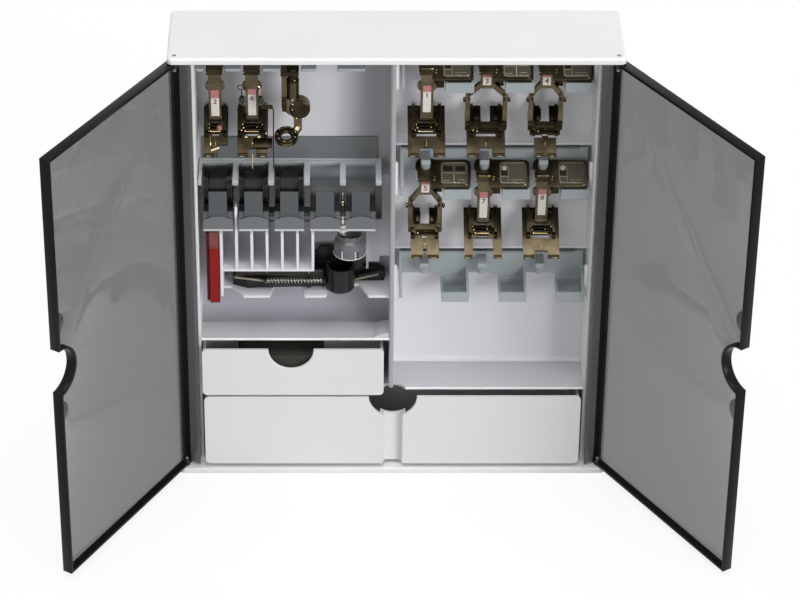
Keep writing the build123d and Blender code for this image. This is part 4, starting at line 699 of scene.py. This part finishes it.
# Painted highlights, as bright specks round the hinge: x as a share of the wall's distance, y, z, and size.
SPECKS = ((-0.9, -0.9, 1.5, 0.75), (-0.72, 0.4, 1.9, 0.5), (-0.6, -1.3, 1.2, 0.55), (1.0, 0.2, 1.9, 0.55),
          (1.0, -1.1, 1.5, 0.65), (0.97, 1.9, 2.6, 0.4), (0.9, 3.4, 3.2, 0.36), (0.35, 1.0, 1.4, 0.4))
HEAD_SPECKS = ((-5.0, -3.4), (5.1, -7.2), (4.8, -9.0), (-4.4, -8.8))
for name, foot in FEET.items():
    wall, fork, half_width = foot["wall"], foot["fork"], foot["width"] / 2
    # The dark pieces are a painted shade of the bronze, the bright ones painted highlights, and the black strips
    # painted shadow in the slots and pin holes.
    dark, bright, black = bmesh.new(), bmesh.new(), bmesh.new()
    if not fork:
        add_pin(dark, 0.9, 2 * wall + 3.4, (0, 11.0, 3.2))
    add_block(dark, (2 * wall - 2.4, 1.6, 1.8), (0, -0.3, 0.9), edge=0.5)
    for side in (-1, 1):
        add_block(dark, (0.8, 13.0, 3.4), (side * (wall - 1.5), 7.2, 1.9), edge=0.3)
        add_block(dark, (1.9, 2.4, 2.0), (side * wall, -3.0, 0.9), edge=0.6)
        add_block(black, (0.9, 7.5, 0.5), (side * (wall - 2.5), 6.0, 4.5), edge=0.2)
        add_rivet(bright, 0.42, 0.4, (side * wall, 14.2, 4.7))
        add_rivet(bright, 0.36, 0.35, (side * (wall - 1.5), 1.6, 3.6))
        tip, tip_width = (half_width + SLOT_HALF[name]) / 2, half_width - SLOT_HALF[name] - 0.8
        if name == "foot_zip":
            tip, tip_width = ZIP_TIP
        if not (name == "foot_overlock" and side == 1):
            add_block(dark, (tip_width, 1.5, 0.7), (side * tip, TOE_Y, 0.25), edge=0.3)
            add_block(bright, (tip_width * 0.45, 0.3, 0.4), (side * tip * 1.1, TOE_Y - 0.85, -0.5), edge=0.1)
    for x, y, z, size in SPECKS:
        add_rivet(bright, size, size, (x * wall, y, z))
    if fork:
        add_block(bright, (0.9, 2.6, 0.9), (0.3, 0.6, 1.9), Matrix.Rotation(0.2, 3, "Z"), edge=0.3)
        add_block(bright, (2.6, 0.9, 0.8), (fork * 0.26, 2.6, 3.9), Matrix.Rotation(0.25, 3, "Z"), edge=0.3)
        for side in (-1, 1):
            add_block(dark, (3.0, 7.2, 1.2), (side * (wall - 2.6), 6.6, 6.6), edge=0.4)
            add_rivet(bright, 0.4, 0.4, (side * (fork - 0.6), 5.0, 7.0))
    else:
        add_block(bright, (wall * 1.05, 0.5, 0.5), (0, -1.6, 1.4), edge=0.2)
        add_block(black, (5.4, 1.2, 0.5), (0, 2.6, 4.75), edge=0.2)
        add_block(dark, (8.6, 6.4, 0.8), (0, 6.6, 5.0), edge=0.3)
    if name != "foot_open_toe":
        add_block(bright, (0.22, 5.4, 0.16), (0, -7.4, 0.03), edge=0.05, segments=1)
    for target in (dark, bright, black):
        bmesh.ops.transform(target, matrix=sole_plane(foot), verts=target.verts)
    hook = HOOKS[foot["row"]]
    before = set(bright.verts)
    # Gold dots on the head, painted highlights.
    for x, y in HEAD_SPECKS:
        add_rivet(bright, 0.34, 0.3, (x, y, 0))
    if name in WINDOWED and not fork:
        add_block(bright, (7.0, 0.25, 0.2), (0, -6.6, 0.05), edge=0.06, segments=1)
    move_on(bright, before, head_plane(foot))
    if name in WINDOWED:
        low = 3.0 if fork else 4.2
        add_block(dark, (4.6, 1.6, low), (foot["x"] + 7.2, FRONT + 25.4, hook - 14.6 - low / 2), edge=0.4)
    if fork:
        for side in (-1, 1):
            at, pin_z = foot["x"] + side * (fork + 0.7), hook - FORK_PIN_DROP
            add_pin(dark, 1.5, 1.4, (at, FRONT + 19.2, pin_z))
            add_pin(black, 0.8, 1.6, (at, FRONT + 19.2, pin_z))
            add_pin(dark, 1.0, 1.2, (at - side * 2.6, FRONT + 17.6, pin_z + 1.0))
            for lift in (-1.2, 1.2):
                add_rivet(bright, 0.34, 0.34, (at, FRONT + 17.8, pin_z + lift))
    finish_piece(f"{name}_fittings", dark, "bronze_dark", name)
    finish_piece(f"{name}_glints", bright, "gold_and_painted_glint", name, smooth=60)
    finish_piece(f"{name}_slots", black, "black_steel_and_painted_shadow", name)
print("fitted", len(FEET), "feet")

# %% [markdown]
# ## Side plates
#
# The clear insert in a side plate is a lens with lines moulded into it. The lines are thin raised ribs, and
# the plate's right edge is folded down, which shows as a black line.

# %% Lines on the inserts
new_finish("glass_line", "C9C4B0", "8F8A74", (0.08, 0.16), edge=0.1)
WINDOW = Vector((16.0, -4.8, 0.6))
TWIN = ("foot_straight", "foot_buttonhole")
# Ribs and dark patches, each a centre on the insert and a width and height.
RIBS = {"frame": ((0, -6.2, 13.0, 0.22), (-6.9, 0, 0.22, 11.6), (0, 6.2, 13.0, 0.22)),
        "lens": ((-2.6, -1.0, 0.2, 9.8), (-4.8, -2.6, 4.2, 0.25), (2.4, -4.6, 7.0, 0.18)),
        "twin": ((0, -0.2, 13.0, 0.3), (-0.2, -3.4, 0.5, 5.4), (3.6, -4.6, 4.2, 0.3), (-4.2, -5.0, 3.6, 0.3))}
PATCHES = {"lens": ((-5.0, 1.4, 3.6, 6.0),), "twin": ((-3.5, 2.6, 5.4, 3.4), (3.3, 2.6, 5.4, 3.4))}
for name in WINDOWED:
    foot, kind = FEET[name], "twin" if name in TWIN else "lens"
    lines, patches, glints = bmesh.new(), bmesh.new(), bmesh.new()
    for x, y, w, h in RIBS["frame"] + RIBS[kind]:
        add_block(lines, (w, h, 0.2), WINDOW + Vector((x, y, 0)), edge=0.06, segments=1)
    for x, y, w, h in PATCHES[kind]:
        add_block(patches, (w, h, 0.16), WINDOW + Vector((x, y, 0)), edge=0.05, segments=1)
    if kind == "lens":
        add_rivet(lines, 1.7, 0.5, WINDOW + Vector((-4.9, 3.0, 0)))
    add_block(patches, (0.9, 15.0, 2.4), WINDOW + Vector((8.7, -0.4, -1.8)), edge=0.2)
    # Four tiny gold dots on the insert's frame are painted highlights.
    for x, y in ((-6.6, -6.0), (2.2, -6.4), (6.6, -7.6), (0.4, -6.1)):
        add_rivet(glints, 0.36, 0.3, WINDOW + Vector((x, y, -0.1)))
    for target in (lines, patches, glints):
        bmesh.ops.transform(target, matrix=head_plane(foot), verts=target.verts)
    finish_piece(f"{name}_insert_lines", lines, "glass_line", name)
    finish_piece(f"{name}_insert_patches", patches, "black_steel_and_painted_shadow", name)
    finish_piece(f"{name}_insert_glints", glints, "gold_and_painted_glint", name)
print("inserts lined:", len(WINDOWED))

# %% [markdown]
# ## The two narrow feet and the spring foot
#
# The first foot has a copper ball, and two thin gold bars along its angled edge that are a painted highlight. The
# second carries a wire ring, two thumb screws, a flat guide that ends in a long wire, and a side plate, and small
# gold bits on it are painted highlights. The third has a real coil spring, and its gold bits are painted highlights
# too.

# %% Overlock and embroidery fittings
new_finish("copper_ball", "A8765F", "8C5C48", (0.25, 0.35), edge=0.2)
new_metal("pale_steel", "D8D5CE", "BDB9B0", (0.15, 0.24), bump=0.04, edge=0.1)


def add_ring(bm, radius, wire, place, turn, steps=28):
    """A closed ring of round wire."""
    angles = [i * math.tau / 8 for i in range(9)]
    made = add_turned(bm, [(radius + wire * math.cos(a), wire * math.sin(a)) for a in angles], ORIGIN, steps=steps)
    bmesh.ops.rotate(bm, verts=made, matrix=turn, cent=ORIGIN)
    bmesh.ops.translate(bm, verts=made, vec=place)


BALL = [(0, -1.8), (0.9, -1.5), (1.5, -0.7), (1.5, 0.7), (0.9, 1.5), (0, 1.8)]
ball, blade = bmesh.new(), bmesh.new()
add_turned(ball, BALL, (-97.6, FRONT + 13.6, 228.0), steps=20)
# Two thin gold bars: a painted highlight on the foot's angled edge.
add_block(blade, (5.2, 0.5, 1.1), (-100.0, FRONT + 8.4, 217.6), Matrix.Rotation(-0.4, 3, "Y"), edge=0.15)
add_block(blade, (0.4, 6.0, 0.5), (-102.6, FRONT + 13.0, 220.0), Matrix.Rotation(0.56, 3, "X"), edge=0.1)
finish_piece("foot_overlock_ball", ball, "copper_ball", "foot_overlock")
finish_piece("foot_overlock_edge_glint", blade, "gold_and_painted_glint", "foot_overlock")

THUMB_SCREW = [(0, 0), (1.7, 0), (1.7, 2.4), (1.1, 3.0), (0, 3.0)]
WIRE_Y = FRONT + 18.0
wires, plates, shine = bmesh.new(), bmesh.new(), bmesh.new()
add_ring(wires, 1.5, 0.32, (-85.6, WIRE_Y, 251.4), AIMS["-Y"])
add_wire(wires, [(-85.2, WIRE_Y, 249.8), (-84.9, WIRE_Y, 246.0), (-84.4, WIRE_Y, 241.0),
                 (-83.2, WIRE_Y - 0.6, 236.0)], 0.4)
for x in (-84.9, -74.7):
    add_turned(wires, THUMB_SCREW, (x, WIRE_Y + 0.2, 244.4), axis="-Y", steps=16)
add_wire(wires, [(-68.1, FRONT + 14.0, 241.2), (-67.5, FRONT + 13.6, 239.2), (-67.6, FRONT + 9.0, 224.0),
                 (-67.6, FRONT + 6.0, 206.6)], 0.42)
add_block(plates, (6.4, 0.7, 2.6), (-71.2, FRONT + 14.6, 241.0), edge=0.2)
# The gold shine pieces, two thin wires, two domes and a bar, are painted highlights.
add_wire(shine, [(-75.0, WIRE_Y, 246.6), (-75.0, WIRE_Y, 251.4), (-75.9, WIRE_Y, 252.2)], 0.3)
add_wire(shine, [(-79.3, FRONT + 7.6, 215.0), (-79.4, FRONT + 6.2, 206.4)], 0.22)
before = set(plates.verts)
add_block(plates, (10.6, 6.2, 0.9), (5.8, -8.6, 0.9), edge=0.3)
move_on(plates, before, sole_plane(FEET["foot_embroidery"]))
before = set(shine.verts)
for x in (-3.6, 3.6):
    add_turned(shine, [(0, 0), (1.15, 0), (1.15, 1.3), (0.6, 1.9), (0, 1.9)], (x, -4.6, 0.3), steps=16)
add_block(shine, (0.3, 6.0, 0.4), (7.6, -1.0, 2.2), edge=0.1)
move_on(shine, before, sole_plane(FEET["foot_embroidery"]))
finish_piece("foot_embroidery_wires", wires, "black_steel_and_painted_shadow", "foot_embroidery")
finish_piece("foot_embroidery_plates", plates, "bronze_dark", "foot_embroidery")
finish_piece("foot_embroidery_shine", shine, "gold_and_painted_glint", "foot_embroidery")
print("guides and wires are on the second foot")

# %% Spring foot
SPRING = Vector((-58.0, FRONT, 266.0))
HOUSING = [(0, 0), (3.6, 0), (3.6, 1.2), (3.1, 1.6), (3.1, 4.6), (3.5, 5.0), (3.5, 8.6), (2.6, 9.4), (0, 9.4)]
DISC = [(0, 0), (5.7, 0), (5.7, 0.6), (5.2, 1.0), (0, 1.0)]
RING_R, RING_AT = 5.2, SPRING + Vector((-2.6, 17.2, -44.6))
SCREW_SPECKS = ((-4.4, -29.4), (-2.0, -30.6), (1.0, -24.4), (0.8, -21.8), (3.2, -33.4), (2.2, -9.4), (0.8, -28.0))
lean = Matrix.Rotation(math.radians(20), 3, "X")
coil, parts, specks = bmesh.new(), bmesh.new(), bmesh.new()
add_coil(coil, 3.1, 0.42, 10.0, 7.5, SPRING + Vector((1.2, 20.0, -21.4)))
add_turned(parts, HOUSING, SPRING + Vector((1.2, 19.6, -11.2)), steps=12)
add_turned(parts, DISC, SPRING + Vector((4.8, 17.5, -28.2)), axis="-Y", steps=28)
add_block(parts, (2.6, 1.2, 7.0), SPRING + Vector((-3.6, 17.0, -26.0)), edge=0.4)
# The gold block and specks are painted highlights on the spring foot's knuckle and ring.
add_block(specks, (2.2, 1.2, 2.6), SPRING + Vector((3.4, 17.8, -40.6)), Matrix.Rotation(0.5, 3, "Y"), edge=0.4)
add_ring(parts, RING_R, 0.9, RING_AT, lean)
for i in range(9):
    angle = 0.3 + i * math.tau / 9
    spot = Vector((RING_R * math.cos(angle), RING_R * math.sin(angle), 0.75))
    add_rivet(specks, 0.34 + 0.18 * (i % 2), 0.3, RING_AT + lean @ spot)
for x, z in SCREW_SPECKS:
    add_rivet(specks, 0.42, 0.4, SPRING + Vector((x, 16.6, z)), axis="-Y")
finish_piece("foot_spring_coil", coil, "bronze_metal", "foot_spring")
finish_piece("foot_spring_fittings", parts, "bronze_dark", "foot_spring")
finish_piece("foot_spring_glints", specks, "gold_and_painted_glint", "foot_spring")
print("spring wound with 7.5 turns")

# %% [markdown]
# ## Bobbins, spindle and seam ripper
#
# Fine black thread lies on each bobbin's drum: a tight coil of thin wire gives its ribs. The spindle that
# carries the smoky collar has a brass bead, four steel rings and a white foot. The seam ripper's blade shows
# through its red cap.

# %% Thread
new_finish("thread_black", "2A2A2B", "161617", (0.35, 0.5), edge=0.05)
new_finish("trim_white", "EDEDEE", "E2E2E4", (0.35, 0.45), edge=0.1)
new_finish("red_shade", "4E1214", "3E0C0E", (0.3, 0.4), Specular_IOR_Level=0.2)
CUP_X, CUP_PITCH, BOBBINS, CUPS = -99.5, 20.1, 3, 5
DRUM_Y, DRUM_Z, THREAD_R, THREAD_W = FRONT + 24.0, 185.2, 7.55, 9.2
for i in range(BOBBINS):
    thread = bmesh.new()
    add_coil(thread, THREAD_R, 0.3, THREAD_W, 15, (CUP_X + CUP_PITCH * i - THREAD_W / 2, DRUM_Y, DRUM_Z), axis="X",
             per_turn=24)
    finish_piece(f"bobbin_{i + 1}_thread", thread, "thread_black", f"bobbin_{i + 1}")
print("bobbins wound:", BOBBINS)

# %% [markdown]
# A saddle stands between the two grooves of each trough and hides the lower half of the drum. Its back is
# hollowed well clear of the drum, because a bobbin leaves its trough forwards and up.

# %% Saddles
SADDLE = [(9.6, 171.8), (9.9, 173.2), (10.6, 178.5), (11.7, 183.2), (12.6, 187.2), (13.1, 187.0), (15.1, 183.4),
          (16.4, 180.6), (18.4, 177.8), (21.0, 176.3), (24.0, 176.0), (24.0, 171.8)]
SADDLE_HALF = 5.1
saddles = bmesh.new()
for i in range(CUPS):
    left = CUP_X + CUP_PITCH * i - SADDLE_HALF
    side = saddles.faces.new([saddles.verts.new((left, FRONT + y, z)) for y, z in SADDLE])
    pulled = bmesh.ops.extrude_face_region(saddles, geom=[side], use_keep_orig=True)["geom"]
    shift_new(saddles, pulled, (2 * SADDLE_HALF, 0, 0))
finish_piece("bobbin_saddles", saddles, "saddle_grey", "cabinet", smooth=50)
print("saddles:", CUPS)

# %% [markdown]
# The spindle's beads are turned, each with a hole for the spindle. The collar gets its washer and white lines, and
# the seam ripper its blade and a dark red strip at its side, a painted shadow.

# %% Spindle, collar and ripper
SPINDLE, COLLAR, COLLAR_R, RIPPER_Y = (-29.15, FRONT + 22.0), (-25.2, FRONT + 18.6), 9.25, FRONT + 13.0
BEAD = [(1.0, 0), (1.5, 0.5), (1.5, 1.1), (1.0, 1.6), (1.0, 0)]
THIN_RING = [(1.0, 0), (1.5, 0.2), (1.5, 0.9), (1.0, 1.1), (1.0, 0)]
FOOT_CAP = [(1.0, 0), (3.4, 0), (3.2, 1.2), (1.9, 1.8), (1.7, 3.6), (1.0, 3.6), (1.0, 0)]
WASHER = [(3.3, 0), (6.3, 0), (6.3, 0.4), (5.9, 0.6), (3.3, 0.6), (3.3, 0)]
bead, rings, foot_cap, washer, lines = [bmesh.new() for _ in range(5)]
add_turned(bead, BEAD, (*SPINDLE, 173.8), steps=20)
for z in (169.6, 167.6, 165.6, 162.2):
    add_turned(rings, THIN_RING, (*SPINDLE, z), steps=20)
add_turned(foot_cap, FOOT_CAP, (*SPINDLE, 156.0), steps=24)
add_turned(washer, WASHER, (*COLLAR, 155.4), steps=32)
add_ring(lines, COLLAR_R, 0.22, (*COLLAR, 143.3), Matrix.Identity(3), steps=40)
for shift in (-4.4, 3.2):
    skirt_y = COLLAR[1] - math.sqrt(COLLAR_R ** 2 - shift ** 2)
    add_block(lines, (0.55, 0.5, 5.4), (COLLAR[0] + shift, skirt_y, 145.9), edge=0.15)
finish_piece("spindle_bead", bead, "gold_and_painted_glint", "cabinet")
finish_piece("spindle_rings", rings, "pale_steel", "cabinet")
finish_piece("spindle_foot", foot_cap, "trim_white", "cabinet")
finish_piece("collar_washer", washer, "pale_steel", "cabinet")
finish_piece("collar_lines", lines, "trim_white", "cabinet")

blade, side_shade = bmesh.new(), bmesh.new()
add_block(blade, (0.9, 0.5, 6.6), (-102.3, RIPPER_Y, 153.6), edge=0.1)
add_wire(blade, [(-101.8, RIPPER_Y, 153.0), (-101.4, RIPPER_Y, 155.2), (-101.5, RIPPER_Y, 157.0)], 0.25)
# A dark red strip at the ripper's left side: painted shadow.
add_block(side_shade, (1.5, 2.6, 46.0), (-105.95, RIPPER_Y + 0.6, 137.0), edge=0.3)
finish_piece("ripper_blade", blade, "pale_steel", "seam_ripper")
finish_piece("ripper_painted_shadow", side_shade, "red_shade", "seam_ripper")
print("spindle, collar and ripper trimmed")

# %% [markdown]
# ## Walking foot
#
# The rod that stands for the spring in the CAD becomes a real coil of seventeen turns. A worn olive plate
# lies along the top of the body, with a pale lever at each end and two small screws.

# %% Walking foot fittings
new_metal("lever_beige", "A59D8B", "8A8273", (0.3, 0.42), metal=0.3)
new_metal("olive_plate", "37342D", "292721", (0.3, 0.42), metal=0.4)
LEFT_TILT, RIGHT_TILT = (Matrix.Rotation(math.radians(angle), 3, "Y") for angle in (8, -14))
coil, plate, levers, screws = [bmesh.new() for _ in range(4)]
add_coil(coil, 1.16, 0.42, 31.8, 17, (-72.8, FRONT + 15.8, 125.4), axis="X", per_turn=12)
finish_piece("walking_foot_coil", coil, "bright_steel", "walking_foot", replaced=["walking_foot_spring"])
add_block(plate, (50.0, 0.7, 4.2), (-65.4, FRONT + 19.6, 128.4), edge=0.2)
add_block(plate, (14.0, 0.6, 6.0), (-27.0, FRONT + 29.6, 134.0), edge=0.2)
add_block(levers, (17.6, 1.2, 1.0), (-82.4, FRONT + 17.2, 125.6), LEFT_TILT)
add_block(levers, (14.4, 1.4, 1.1), (-15.6, FRONT + 25.4, 121.8), RIGHT_TILT)
for x in (-72.6, -48.6):
    add_rivet(screws, 0.45, 0.4, (x, FRONT + 19.3, 128.6), axis="-Y")
finish_piece("walking_foot_plate", plate, "olive_plate", "walking_foot")
finish_piece("walking_foot_levers", levers, "lever_beige", "walking_foot")
finish_piece("walking_foot_screws", screws, "pale_steel", "walking_foot")
print("walking foot fitted")

# %% [markdown]
# ## Trim
#
# Above each foot rack the liner rolls forward and leaves a thin slit, black because nothing lights the space behind
# it. A thin black strip stands just inside the slit as painted shadow.

# %% Slits above the racks
RAIL_TOPS, SLIT = (136.3, 205.3), (100.0, 0.4, 1.5)
slits = bmesh.new()
for top in RAIL_TOPS:
    add_block(slits, SLIT, (54.0, FRONT + 29.2, top + 1.5), edge=0.08, segments=1)
finish_piece("rack_slits", slits, "black_steel_and_painted_shadow", "cabinet")
print("slits closed")
